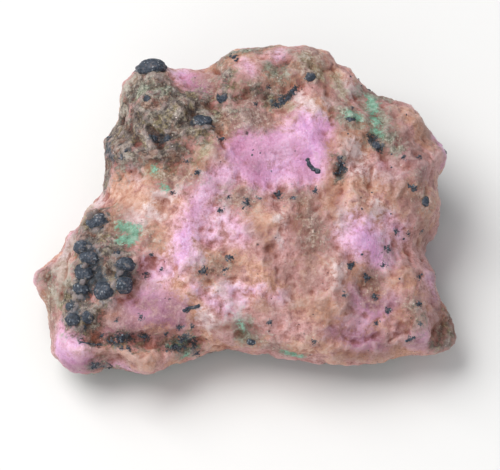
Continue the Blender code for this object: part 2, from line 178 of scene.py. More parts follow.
# Where each mineral shows on the face: paths across and down it in mm, and how far it reaches from them. The
# shade strokes are painted shade, and mauve strokes on the lower-left facet and lobe and the strokes on the
# back lobe at the lower right darken them partly as painted shade.
minerals = {
    "lilac": [
        ([(24.0, 15.4), (26.6, 14.8), (29.4, 14.6)], 2.1), ([(30.2, 12.8), (32.2, 13.0)], 1.5),
        ([(31.6, 14.4), (31.0, 16.4), (29.6, 17.2)], 1.9), ([(24.4, 17.4), (28.0, 17.4)], 1.6),
        ([(22.8, 17.4), (21.0, 18.8), (19.9, 20.6), (18.9, 22.8), (18.2, 25.4)], 1.25),
        ([(19.4, 22.4), (21.0, 23.4)], 0.8), ([(19.6, 24.2), (19.9, 25.8)], 0.6),
        ([(21.4, 17.2), (20.8, 18.0)], 0.9), ([(20.6, 20.8), (21.2, 21.2)], 0.8),
        ([(19.8, 21.8), (20.3, 22.4)], 0.9), ([(23.2, 29.1), (23.8, 29.7)], 0.6),
        ([(35.2, 31.6), (35.8, 32.0)], 0.7), ([(23.0, 22.2), (24.2, 23.2)], 0.9),
        ([(15.2, 27.2), (16.4, 26.9)], 1.1), ([(15.4, 29.2), (16.8, 30.2)], 1.3),
        ([(13.4, 31.2), (16.6, 31.4)], 0.8), ([(6.6, 33.8), (6.6, 35.2), (7.8, 36.2)], 1.9),
        ([(3.6, 27.2), (3.8, 28.8)], 0.8), ([(7.4, 23.4), (6.8, 25.2)], 0.6),
        ([(35.4, 23.5), (37.0, 24.2), (37.7, 25.4)], 1.7), ([(35.6, 30.4), (37.6, 30.6)], 1.0),
        ([(38.6, 22.2), (39.6, 23.2)], 0.7), ([(43.0, 28.0), (43.4, 29.4)], 0.7),
        ([(41.2, 34.2), (42.0, 33.2)], 1.0), ([(43.8, 13.9), (44.4, 15.2)], 0.9),
        ([(24.4, 6.2), (25.4, 7.2)], 0.5), ([(18.2, 7.3), (19.6, 8.8)], 0.7), ([(28.2, 5.4)], 0.7),
        ([(29.2, 11.5), (30.0, 11.7)], 0.6), ([(12.2, 36.6), (13.4, 37.0)], 0.7),
        ([(38.6, 17.0), (39.0, 17.8)], 0.5), ([(24.4, 28.4), (28.6, 29.6)], 0.35),
        ([(19.6, 28.4), (23.0, 31.2)], 0.35),
    ],
    "violet": [
        ([(30.6, 12.8), (31.2, 14.8), (30.6, 16.4)], 1.0), ([(31.8, 13.2), (32.8, 12.6)], 0.5),
        ([(27.0, 16.8), (29.0, 16.8)], 0.5), ([(24.2, 15.2)], 0.4), ([(18.8, 23.4), (18.2, 25.2)], 0.5),
        ([(35.8, 23.6), (37.0, 25.0)], 0.9), ([(6.4, 35.0), (7.2, 35.8)], 1.0),
        ([(15.0, 30.4), (16.4, 30.6)], 0.4), ([(43.6, 13.8)], 0.4),
    ],
    "magenta": [
        ([(29.4, 14.4), (30.6, 16.6)], 0.4), ([(7.9, 36.3), (9.0, 36.5)], 0.8),
        ([(16.6, 31.0), (17.0, 31.8)], 1.2), ([(14.6, 29.6), (16.0, 30.6)], 0.7),
        ([(31.8, 13.6), (32.8, 12.9)], 0.4), ([(24.2, 14.6), (25.6, 17.6)], 1.3),
        ([(27.4, 13.6), (25.9, 15.0)], 0.8), ([(30.2, 17.6), (31.0, 17.4)], 0.6),
        ([(19.4, 20.4), (19.0, 21.6)], 0.25), ([(14.2, 30.4), (17.0, 31.4)], 1.2),
        ([(7.2, 36.5), (8.6, 36.8)], 1.0), ([(37.0, 24.8), (37.4, 25.6)], 0.15),
        ([(19.0, 7.8), (20.2, 9.0)], 0.8), ([(44.2, 16.4)], 0.8), ([(36.4, 30.6), (37.6, 31.2)], 0.6),
        ([(35.4, 34.4), (38.0, 34.4)], 0.8),
    ],
    # mauve: the stone's own colour, laid darker on the lower-left facet, the lobe below it and the back lobe
    # as painted shade
    "mauve": [
        ([(13.6, 31.0), (15.6, 30.0), (17.2, 30.2)], 1.1), ([(16.2, 31.4), (17.4, 31.0)], 1.6),
        ([(7.8, 36.5), (9.6, 36.5)], 1.15), ([(4.9, 27.7)], 1.2), ([(25.4, 14.6), (26.2, 15.4)], 0.0),
        ([(30.2, 17.6), (31.0, 17.3)], 0.0), ([(11.0, 32.6), (14.0, 32.5), (17.2, 32.3)], 1.3),
        ([(33.4, 33.0), (37.4, 34.0)], 0.9), ([(40.0, 33.2), (40.8, 33.8), (42.6, 34.3)], 0.7),
        ([(24.8, 16.2), (25.4, 16.8)], 0.5), ([(36.8, 27.4), (37.4, 28.8)], 0.5),
        ([(35.0, 29.2), (38.6, 30.4)], 1.0), ([(43.4, 25.0), (43.2, 27.4)], 0.8),
        ([(40.2, 14.6), (41.8, 16.6)], 0.9), ([(43.6, 30.4), (44.4, 32.6)], 1.2),
    ],
    "peach": [
        ([(11.8, 20.4), (13.4, 19.8), (15.8, 20.4)], 1.5), ([(15.6, 22.4), (16.6, 24.8)], 1.1),
        ([(25.2, 22.0), (27.6, 22.2)], 1.2), ([(20.8, 15.0), (22.8, 16.0)], 1.2),
        ([(34.4, 13.4), (35.8, 14.8)], 1.1), ([(34.0, 18.4), (36.8, 18.2)], 1.2),
        ([(35.8, 21.4), (38.0, 21.6)], 1.2), ([(32.4, 5.0), (33.0, 6.6)], 0.9), ([(31.2, 6.4)], 0.9),
        ([(27.2, 7.4), (28.6, 8.4)], 0.7), ([(13.4, 35.4), (15.6, 35.2)], 0.9),
        ([(29.2, 29.6), (31.6, 31.2)], 1.0), ([(21.4, 26.4), (23.6, 26.2)], 1.2),
        ([(16.6, 27.6), (18.6, 29.6)], 0.7), ([(33.4, 26.6), (34.6, 29.4)], 0.9),
        ([(29.6, 34.4), (32.2, 34.0)], 0.8), ([(40.4, 10.8), (41.8, 12.6)], 0.9),
        ([(44.4, 17.2), (43.2, 20.0)], 0.5), ([(42.8, 21.6), (42.0, 23.8)], 0.7),
        ([(38.2, 26.6), (38.8, 28.4)], 0.7), ([(30.2, 10.6), (31.8, 10.2)], 0.7),
    ],
    # painted shade: a dull brown where the face turns from the light, on the lower rim, the right lobes and
    # the facet, and in the central trough partly the stone's brown stain as well
    "shade": [
        ([(30.8, 20.2), (30.6, 22.6), (31.0, 26.0), (30.8, 28.2)], 1.2), ([(31.8, 22.4), (32.0, 25.0)], 0.8),
        ([(26.4, 23.0), (26.8, 26.2)], 0.3), ([(28.4, 27.0), (29.2, 30.0)], 0.6),
        ([(36.6, 27.6), (37.2, 29.6)], 1.1), ([(38.8, 17.6), (40.8, 20.2)], 1.1),
        ([(39.6, 13.4), (41.6, 15.4)], 1.1), ([(44.2, 31.6), (44.6, 33.6)], 1.6),
        ([(40.8, 30.2), (41.4, 31.8)], 0.9), ([(33.0, 9.4), (34.6, 11.0)], 0.7),
        ([(9.4, 36.8), (11.4, 36.8)], 0.8), ([(12.4, 33.0), (16.4, 32.8)], 0.6),
        ([(17.4, 35.0), (19.8, 35.0)], 0.6), ([(20.4, 7.8), (21.4, 7.9)], 0.9),
        ([(42.4, 13.2), (42.7, 14.4)], 0.8), ([(40.2, 26.6), (40.2, 27.6)], 0.7),
        ([(38.6, 34.2), (39.4, 34.4)], 0.8), ([(34.4, 35.4), (38.2, 35.4)], 0.8),
        ([(31.4, 30.4), (32.2, 30.8)], 0.8), ([(34.2, 12.2), (34.5, 12.9)], 0.7),
        ([(38.7, 15.9), (39.4, 16.6)], 0.8), ([(25.6, 30.6), (27.2, 30.6)], 0.7),
        ([(32.8, 14.8), (33.0, 16.4)], 0.6), ([(13.0, 35.4), (14.2, 35.5)], 0.8),
        ([(25.4, 23.0), (26.2, 23.8)], 0.7), ([(34.0, 13.6), (34.4, 14.2)], 0.5),
        ([(21.9, 18.5), (22.5, 18.9)], 0.2), ([(14.6, 28.4), (15.6, 28.8)], 0.2),
        ([(20.6, 14.8), (21.4, 15.2)], 0.8), ([(41.2, 15.8), (41.6, 16.6)], 0.8),
        ([(12.2, 20.8), (13.0, 21.2)], 0.4), ([(38.8, 11.2), (39.4, 11.8)], 0.8),
        ([(10.8, 35.3), (12.2, 35.4)], 0.8), ([(32.8, 19.4), (33.0, 20.6)], 0.8),
        ([(40.4, 33.0), (40.6, 34.0)], 0.8), ([(14.4, 30.4), (15.8, 30.6)], 0.4),
        ([(33.8, 29.4), (35.0, 31.2)], 0.6), ([(42.2, 22.4), (42.8, 25.0)], 0.6),
        ([(4.9, 27.4), (5.1, 28.1)], 0.9), ([(10.2, 32.4), (12.2, 31.6)], 0.8),
        ([(17.4, 30.8), (17.3, 31.6)], 0.4), ([(24.0, 8.2), (26.2, 8.5)], 0.6),
    ],
    "rust": [
        ([(30.4, 20.0), (29.6, 22.6)], 0.5), ([(26.4, 22.6), (27.0, 25.0)], 0.4),
        ([(33.3, 11.4), (33.6, 12.2)], 0.3), ([(33.1, 14.6), (33.4, 17.6)], 0.6),
        ([(33.6, 19.0), (33.0, 21.4)], 0.6), ([(31.8, 7.0), (32.6, 8.6)], 0.6),
        ([(14.6, 11.0), (16.2, 12.0)], 0.6), ([(15.2, 32.8), (17.4, 33.0)], 0.5),
        ([(31.6, 30.8), (32.4, 31.6)], 0.4), ([(21.6, 32.8), (22.8, 32.4)], 0.35),
        ([(33.0, 34.4), (34.8, 35.3), (36.2, 35.5)], 0.4), ([(39.8, 31.4), (40.6, 32.2), (41.6, 31.8)], 0.5),
        ([(44.4, 31.2), (44.8, 33.4)], 0.9), ([(34.4, 28.0)], 0.35), ([(36.8, 28.4), (37.2, 29.2)], 0.5),
        ([(23.2, 13.2), (22.2, 14.4)], 0.6), ([(27.8, 11.0), (29.4, 12.0)], 0.35),
        ([(39.9, 26.8), (40.2, 28.6)], 0.5), ([(17.2, 17.0), (19.8, 16.1)], 0.8),
        ([(23.6, 9.0), (26.4, 8.9)], 0.5), ([(28.2, 7.8), (29.6, 8.4)], 0.5),
        ([(9.2, 34.0), (11.6, 34.6)], 0.35), ([(4.9, 27.7)], 0.8), ([(44.0, 30.4), (44.6, 32.6)], 0.8),
    ],
    "greyish": [
        ([(22.2, 11.6), (25.8, 12.0)], 1.3), ([(14.8, 23.0), (15.2, 24.0)], 0.5),
        ([(19.6, 8.8), (20.2, 9.4)], 0.6), ([(21.9, 6.2), (22.4, 7.0)], 0.5),
        ([(24.8, 8.2), (26.2, 8.2)], 0.1), ([(5.3, 27.9), (5.5, 28.5)], 0.5),
        ([(20.9, 9.0), (21.5, 9.4)], 0.8), ([(5.2, 30.4), (5.4, 32.0)], 0.9),
        ([(24.6, 10.2), (28.0, 9.2)], 1.0), ([(27.8, 7.2), (29.8, 6.4), (30.8, 7.2)], 0.9),
        ([(23.2, 19.9), (25.4, 20.0)], 0.7), ([(28.4, 19.8), (30.0, 19.8)], 0.5), ([(44.8, 33.2)], 0.4),
        ([(38.5, 24.8), (38.4, 25.8)], 0.2), ([(36.7, 28.2)], 0.6), ([(31.0, 21.6), (31.4, 24.2)], 0.7),
        ([(16.4, 17.8), (19.4, 17.6)], 0.9), ([(36.6, 9.4), (39.0, 9.8)], 0.9),
        ([(37.0, 13.2), (39.2, 14.6)], 0.7), ([(34.0, 10.8), (34.8, 12.4)], 0.6),
        ([(22.6, 26.2), (20.8, 27.2)], 0.5), ([(25.0, 33.4), (27.6, 34.6)], 0.6),
        ([(41.2, 30.2), (41.4, 32.2)], 0.6), ([(41.6, 17.8), (42.4, 20.4)], 0.5),
        ([(30.8, 4.8), (31.6, 6.0)], 0.8), ([(11.6, 22.4), (11.4, 25.2)], 0.9),
    ],
    "rock": [
        ([(13.6, 8.6), (15.6, 8.8)], 2.0), ([(16.8, 9.8), (18.6, 10.0), (19.8, 11.4)], 2.0),
        ([(14.2, 12.0), (17.6, 12.6)], 2.5), ([(12.6, 10.4), (11.4, 13.0)], 1.7),
        ([(12.0, 13.2), (12.2, 15.2)], 2.2), ([(14.6, 15.2), (17.6, 15.2)], 1.5),
        ([(19.8, 13.6), (21.0, 12.6)], 1.1), ([(10.4, 13.4), (10.6, 17.4)], 1.4), ([(10.0, 19.0)], 0.7),
        ([(22.0, 5.8), (24.0, 5.0), (26.4, 4.6)], 0.8), ([(22.3, 7.6), (22.9, 9.8)], 0.8),
        ([(25.2, 9.2), (26.8, 9.8)], 0.6), ([(27.8, 6.8), (29.2, 5.2)], 0.3),
        ([(9.4, 21.6), (9.2, 23.4), (9.2, 25.4)], 1.9), ([(9.0, 27.2), (11.0, 27.6), (12.0, 26.8)], 2.0),
        ([(10.6, 25.2), (12.6, 25.2)], 1.2), ([(7.6, 29.6), (8.6, 31.4)], 1.9),
        ([(10.4, 29.8), (12.0, 29.0)], 0.6), ([(9.0, 33.8), (12.0, 34.1), (14.4, 33.8)], 0.55),
        ([(16.8, 34.4), (19.6, 34.2)], 0.7), ([(9.6, 36.4), (11.4, 36.6)], 0.5),
        ([(33.7, 16.0), (33.9, 17.6)], 0.6), ([(41.4, 30.8), (41.5, 32.0)], 0.3),
        ([(23.2, 11.3), (24.8, 11.4)], 0.2), ([(4.9, 27.7)], 0.6),
        # the back lobe at the lower right, darkened partly as painted shade
        ([(44.5, 31.4), (44.8, 33.2), (44.0, 34.3)], 0.55),
    ],
    "tan": [
        ([(7.4, 28.2), (6.4, 30.2)], 0.8), ([(5.3, 29.4), (5.3, 30.8)], 0.6),
        ([(14.8, 11.2), (16.0, 12.2)], 0.8), ([(13.0, 9.2), (12.2, 11.6)], 0.8),
        ([(30.4, 5.6), (31.8, 7.4)], 0.9), ([(33.4, 7.8), (34.4, 9.2)], 0.5),
        ([(26.6, 10.2), (29.0, 10.8)], 0.5), ([(23.4, 8.6), (22.8, 9.8)], 0.4),
        ([(21.2, 14.2), (19.8, 15.8)], 0.5), ([(14.8, 17.3), (16.4, 17.5)], 0.5),
        ([(8.6, 21.0), (8.4, 22.4)], 0.5),
    ],
    # pale: whitish crystal, and in a few strokes painted light that lifts places lying in the relief's shade
    "pale": [
        ([(9.4, 20.8), (10.2, 19.4), (10.8, 18.0)], 0.9), ([(13.4, 16.9), (14.0, 17.6)], 0.8),
        ([(17.8, 19.2)], 0.5), ([(17.0, 6.9), (18.2, 7.4)], 0.8), ([(13.2, 21.8), (14.4, 22.2)], 0.6),
        ([(15.2, 21.2), (16.0, 21.4)], 0.6), ([(34.0, 21.4), (34.4, 23.0)], 0.8),
        ([(22.6, 28.8), (23.6, 30.0)], 1.0), ([(20.4, 31.6), (21.4, 32.4)], 0.8),
        ([(29.8, 9.8), (30.6, 10.6)], 0.7), ([(31.4, 11.2), (32.6, 12.0)], 0.7),
        ([(22.1, 19.4), (22.4, 21.6), (23.0, 22.8)], 0.55), ([(17.8, 24.6), (18.2, 25.6)], 0.7),
        ([(28.4, 5.2)], 0.6), ([(27.6, 24.0)], 0.5), ([(33.8, 26.8), (34.0, 28.4)], 0.8),
        ([(41.4, 34.2)], 0.6), ([(34.8, 17.4)], 0.4), ([(35.1, 14.4), (35.6, 16.4)], 0.9),
        ([(16.0, 8.4)], 0.4), ([(15.2, 27.0), (16.4, 27.2)], 1.0), ([(19.4, 24.4), (19.9, 26.0)], 0.9),
        ([(33.6, 8.4), (34.2, 9.4)], 0.5), ([(43.6, 28.6)], 0.3), ([(13.9, 27.8), (13.9, 29.4)], 0.8),
        ([(22.0, 19.4), (22.4, 20.2)], 0.5), ([(28.0, 21.8), (28.4, 22.6)], 0.4),
        ([(37.4, 20.8), (38.2, 21.4)], 0.8), ([(11.2, 30.4), (11.8, 30.8)], 0.6),
        ([(36.2, 17.2), (37.0, 17.6)], 0.5), ([(32.6, 9.9), (33.2, 10.6)], 0.6),
        ([(16.0, 19.6), (16.6, 20.0)], 0.6), ([(34.9, 8.7), (35.8, 9.2)], 0.8),
        ([(5.6, 23.8), (4.0, 26.6)], 0.5),
    ],
    "glassy": [
        ([(7.2, 24.6), (6.5, 26.2), (6.5, 28.0)], 1.2), ([(5.7, 28.8), (5.9, 29.8)], 0.6),
        ([(9.0, 20.4), (9.9, 18.4)], 0.8), ([(12.6, 8.4), (11.6, 11.2), (10.8, 13.0)], 0.5),
        ([(22.8, 5.2), (26.2, 4.5)], 0.4), ([(29.0, 5.0), (30.0, 5.6)], 0.4),
        ([(17.9, 11.6), (18.5, 12.1)], 0.1), ([(12.9, 7.2), (13.6, 8.2)], 0.5),
        ([(12.4, 11.0), (12.8, 11.8)], 0.4), ([(6.4, 33.0), (6.7, 34.2)], 0.05),
        ([(20.4, 11.2), (21.4, 12.2)], 0.4), ([(12.0, 16.6), (12.8, 16.2)], 0.4),
    ],
    "sage": [
        ([(36.4, 9.2), (38.9, 9.7)], 0.7), ([(36.6, 10.6), (36.8, 11.8)], 0.6),
        ([(34.6, 11.4), (35.6, 12.2)], 0.8), ([(37.4, 12.4), (38.6, 13.6)], 0.9),
        ([(37.7, 11.0), (38.1, 12.6)], 0.9), ([(37.4, 14.2), (39.4, 14.8)], 0.5),
        ([(27.0, 6.7), (27.8, 7.3)], 0.6), ([(14.2, 8.9), (16.8, 9.1)], 0.5),
        ([(23.8, 31.9), (24.8, 33.2)], 0.9), ([(28.2, 35.2), (30.0, 35.4)], 0.4),
        ([(18.6, 35.4), (19.2, 35.0)], 0.4), ([(8.2, 20.6), (8.0, 22.0)], 0.5),
        ([(25.2, 5.0), (23.0, 5.4)], 0.5),
    ],
    "green": [
        ([(12.4, 22.6), (13.6, 23.0), (13.4, 23.9), (12.4, 23.8)], 0.62),
        ([(15.4, 17.0), (15.5, 17.3)], 0.3), ([(16.2, 18.5), (16.9, 18.9)], 0.25),
        ([(37.1, 9.6), (37.3, 10.6), (37.0, 11.2)], 0.45), ([(35.0, 11.5), (35.7, 11.7)], 0.55),
        ([(37.4, 11.9), (37.6, 12.3)], 0.45), ([(37.4, 13.1), (38.0, 13.4)], 0.3),
        ([(23.9, 32.0), (24.5, 32.8)], 0.12), ([(28.6, 35.1), (29.8, 35.4)], 0.55), ([(18.8, 35.4)], 0.35),
        ([(17.2, 34.6), (19.4, 33.6)], 0.3),
    ],
    "dark": [
        ([(9.9, 22.2)], 1.1), ([(9.2, 24.8), (9.8, 27.2), (10.8, 29.0)], 0.7),
        ([(12.4, 26.8), (12.6, 28.0)], 0.7), ([(8.6, 24.6), (9.6, 25.6)], 0.9),
        ([(9.4, 27.0), (8.5, 28.8)], 1.0), ([(12.6, 26.6), (12.4, 28.2)], 0.85), ([(10.8, 29.2)], 0.9),
        ([(7.4, 30.4), (7.7, 31.9)], 0.6), ([(9.0, 31.3)], 0.5), ([(14.0, 6.4), (15.6, 6.2)], 0.9),
        ([(8.4, 33.9), (10.2, 34.3)], 0.1), ([(11.6, 33.9), (13.4, 33.5)], 0.32),
        ([(12.2, 34.4), (13.2, 34.8)], 0.15), ([(14.2, 33.3), (15.2, 33.6)], 0.1),
        ([(17.0, 34.8), (18.6, 34.4)], 0.25), ([(18.8, 33.4), (19.6, 34.2), (19.7, 35.2)], 0.3),
        ([(9.6, 36.4), (11.0, 36.6)], 0.4), ([(27.6, 10.6), (28.6, 9.8), (29.5, 8.9)], 0.45),
        ([(33.8, 16.0), (34.1, 16.8), (33.8, 17.6)], 0.18), ([(15.4, 13.8), (16.9, 13.9)], 0.4),
        ([(10.6, 14.6), (11.2, 16.0)], 0.5), ([(19.6, 12.4), (20.8, 12.3)], 0.5),
        ([(37.2, 14.0), (37.8, 14.8)], 0.5),
    ],
}

# small dark grains on the face: across, down and radius in mm
darkSpots = [
    (12.1, 25.2, 0.35), (14.8, 27.3, 0.25), (8.8, 32.5, 0.25), (23.4, 5.7, 0.45), (15.5, 13.8, 0.42),
    (16.9, 13.9, 0.36), (12.8, 15.1, 0.28), (12.3, 15.9, 0.30), (10.8, 13.7, 0.28), (19.8, 17.3, 0.32),
    (22.0, 21.1, 0.28), (22.9, 19.7, 0.20), (17.3, 19.3, 0.22), (24.7, 20.3, 0.34), (22.3, 13.9, 0.32),
    (18.8, 16.2, 0.22), (28.8, 9.8, 0.40), (28.2, 10.2, 0.40), (29.3, 9.1, 0.42), (27.6, 10.6, 0.34),
    (35.2, 10.8, 0.22), (34.2, 16.4, 0.22), (34.3, 17.0, 0.22), (33.8, 16.6, 0.24), (31.5, 19.1, 0.27),
    (27.8, 19.5, 0.38), (29.2, 19.8, 0.26), (41.8, 15.7, 0.24), (40.2, 15.8, 0.22), (41.1, 18.8, 0.42),
    (39.0, 16.8, 0.12), (39.0, 15.5, 0.12), (34.7, 13.5, 0.13), (35.1, 7.6, 0.13), (36.2, 8.5, 0.12),
    (40.6, 11.5, 0.12), (25.2, 15.6, 0.13), (25.3, 15.1, 0.10), (26.0, 15.4, 0.09), (27.1, 17.2, 0.12),
    (37.0, 19.3, 0.12), (36.0, 20.9, 0.13), (39.4, 23.2, 0.28), (40.7, 23.4, 0.20), (42.1, 23.1, 0.22),
    (35.0, 26.4, 0.42), (36.4, 27.7, 0.36), (37.2, 29.6, 0.30), (38.5, 30.9, 0.32), (41.7, 27.6, 0.34),
    (41.6, 30.2, 0.36), (41.7, 32.2, 0.20), (40.8, 33.7, 0.22), (39.7, 27.8, 0.14), (38.1, 26.4, 0.18),
    (27.0, 32.1, 0.24), (31.2, 33.9, 0.24), (34.2, 29.4, 0.22), (37.4, 32.2, 0.24), (22.9, 25.7, 0.38),
    (20.5, 27.0, 0.40), (22.5, 26.9, 0.24), (16.2, 26.9, 0.18), (15.4, 25.5, 0.20), (14.3, 31.6, 0.22),
    (11.9, 31.9, 0.18), (12.4, 33.7, 0.44), (14.7, 33.5, 0.30),
    (16.7, 33.3, 0.22), (18.0, 32.6, 0.28), (19.3, 32.5, 0.24), (18.4, 33.8, 0.44), (17.6, 34.5, 0.36),
    (19.8, 35.2, 0.32), (9.7, 36.4, 0.42), (11.1, 36.6, 0.34), (8.4, 34.0, 0.22), (13.0, 34.6, 0.30),
    (10.4, 33.4, 0.26), (11.4, 33.9, 0.30), (23.0, 4.6, 0.28), (25.6, 10.6, 0.20), (26.8, 8.8, 0.20),
    (38.6, 24.8, 0.34), (30.9, 7.8, 0.34), (33.6, 17.4, 0.20), (34.0, 15.9, 0.20), (24.3, 20.9, 0.18),
    (25.9, 19.9, 0.18), (21.4, 12.8, 0.20), (40.2, 23.9, 0.14), (36.0, 25.4, 0.14), (38.9, 21.4, 0.12),
]
# dark crystals that lie along a line: path and radius in mm
darkLines = [
    ([(30.7, 16.1), (30.9, 16.6), (31.3, 17.0), (31.9, 17.3)], 0.29),
    ([(18.6, 30.9), (19.0, 30.6), (19.6, 30.6), (20.1, 30.4)], 0.2),
    ([(19.1, 30.8), (18.8, 31.1)], 0.11),
    ([(40.4, 33.9), (41.2, 33.5)], 0.19),
    ([(8.5, 34.0), (9.4, 34.2), (10.3, 34.3)], 0.11),
    ([(33.7, 15.9), (34.1, 16.6), (33.8, 17.5)], 0.15),
]

stoneFinish = {
    "patchBlur": 1.5,  # mm over which a patch gives way to its neighbour
    "blurOf": {
        "green": 0.7, "dark": 0.5, "rust": 1.0, "pale": 0.9, "magenta": 1.2, "tan": 0.9, "glassy": 0.8,
    },
    "pathStep": 0.7,
    "farAway": 99.0,  # mm, for a point that no stroke comes near
    "nearby": 3.0,  # mm from a stroke's edge within which its distance is measured
    "wander": [(2.8, 0.75), (0.9, 0.30)],  # size of the wandering of a patch's edge, and how far, in mm
    "wanderSeed": 6,
    "wanderOf": {"lilac": 1.0, "violet": 1.0, "peach": 1.0, "rock": 1.0, "dark": 0.35},
    "wanderElse": 0.4,
    "seenFrom": (-0.25, 0.15),  # turn towards the viewer between which the guess gives way to what is seen
    "spotShare": 0.8,  # radius of the dark colour under a spot, as a share of the spot's
    "smallestSpot": 0.15,  # mm, for a spot with dark colour under it
}


def faceHit(tree, across, down):
    start = onFace(across, down, 60.0)
    place, normal, _, _ = tree.ray_cast(start, Vector(-faceOut))
    return place, normal


def pathOnStone(tree, path):
    # the path laid on the surface, with a point every step or so
    laid = []
    for start, end in zip(path, path[1:] or path):
        length = math.hypot(end[0] - start[0], end[1] - start[1])
        steps = max(1, round(length / stoneFinish["pathStep"]))
        for step in range(steps + 1):
            share = step / steps
            across = start[0] + share * (end[0] - start[0])
            down = start[1] + share * (end[1] - start[1])
            place, _ = faceHit(tree, across, down)
            if place is not None:
                laid.append(np.array(place) / mm)
    return laid


def distanceToStrokes(points, tree, strokes):
    # least distance in mm from each point to the edge of any stroke: less than 0 inside one
    nearest = np.full(len(points), stoneFinish["farAway"])
    for path, radius in strokes:
        laid = pathOnStone(tree, path)
        for start, end in zip(laid, laid[1:] or laid):
            run = end - start
            away = np.abs(points - (start + end) / 2).max(axis=1)
            near = away < radius + stoneFinish["nearby"]
            spot = points[near]
            along = np.clip(((spot - start) @ run) / max(run @ run, 1e-9), 0.0, 1.0)
            gap = np.linalg.norm(spot - start - along[:, None] * run, axis=1) - radius
            nearest[near] = np.minimum(nearest[near], gap)
    return nearest


def noiseAt(points, size, shift):
    return np.array([noise.noise(Vector(point / size) + Vector(shift)) for point in points])


def saveMask(piece, name, values):
    layer = piece.data.attributes.new(name, "FLOAT", "POINT")
    layer.data.foreach_set("value", values.astype(np.float32))


def wandering(points, share):
    # the points shifted about, so that what is drawn straight comes out uneven
    noise.seed_set(stoneFinish["wanderSeed"])  # without it the shift is a new one in every run
    shift = np.zeros_like(points)
    for size, reach in stoneFinish["wander"]:
        shift += share * reach * np.array([noise.noise_vector(Vector(point / size)) for point in points])
    return points + shift


points = meshPoints(stone) / mm
normals = meshNormals(stone)
tree = BVHTree.FromObject(stone, bpy.context.evaluated_depsgraph_get())
facing = normals @ faceOut
seen = smoothStep(*stoneFinish["seenFrom"], facing)
wanders = {name: stoneFinish["wanderOf"].get(name, stoneFinish["wanderElse"]) for name in minerals}
shares = sorted({stoneShape["reliefWander"], *wanders.values()})
shifted = {share: wandering(points, share) for share in shares}

# what the hidden sides are made of: size of its patches in mm, shift of the pattern, level, strength
hiddenPatches = {
    "lilac": (7.0, (3.1, 0.4, 8.2), 0.10, 2.2),
    "violet": (4.8, (5.1, 7.9, 3.3), 0.34, 2.0),
    "magenta": (4.0, (9.7, 2.3, 1.1), 0.32, 2.0),
    "mauve": (4.3, (2.7, 5.3, 8.1), 0.26, 2.0),
    "peach": (5.0, (1.3, 7.7, 4.9), 0.08, 2.0),
    "shade": (5.5, (6.3, 1.2, 2.8), 0.22, 2.0),
    "rust": (3.2, (5.9, 3.3, 2.7), 0.30, 2.2),
    "greyish": (4.6, (0.7, 8.1, 5.5), 0.22, 2.2),
    "rock": (8.5, (7.2, 5.1, 0.6), 0.16, 2.6),
    "tan": (4.4, (2.2, 9.1, 6.4), 0.30, 2.0),
    "pale": (3.4, (4.4, 1.9, 9.5), 0.26, 2.0),
    "glassy": (3.6, (1.9, 4.7, 7.3), 0.34, 2.2),
    "sage": (3.0, (8.6, 6.4, 3.6), 0.42, 2.6),
    "green": (2.6, (8.8, 6.6, 3.8), 0.55, 3.0),
    "dark": (2.2, (6.1, 8.4, 5.2), 0.52, 3.0),
}
minerals["dark"] += [
    ([(across, down)], stoneFinish["spotShare"] * radius)
    for across, down, radius in darkSpots if radius > stoneFinish["smallestSpot"]
]
masks = {}
for name, strokes in minerals.items():
    blur = stoneFinish["blurOf"].get(name, stoneFinish["patchBlur"])
    gap = distanceToStrokes(shifted[wanders[name]], tree, strokes)
    drawn = np.clip(0.5 - gap / (2.0 * blur), 0.0, 1.0)
    size, shift, level, strength = hiddenPatches[name]
    guessed = np.clip(0.5 + strength * (noiseAt(points, size, shift) - level), 0.0, 1.0)
    masks[name] = seen * drawn + (1.0 - seen) * guessed
print("minerals placed:", ", ".join(minerals))


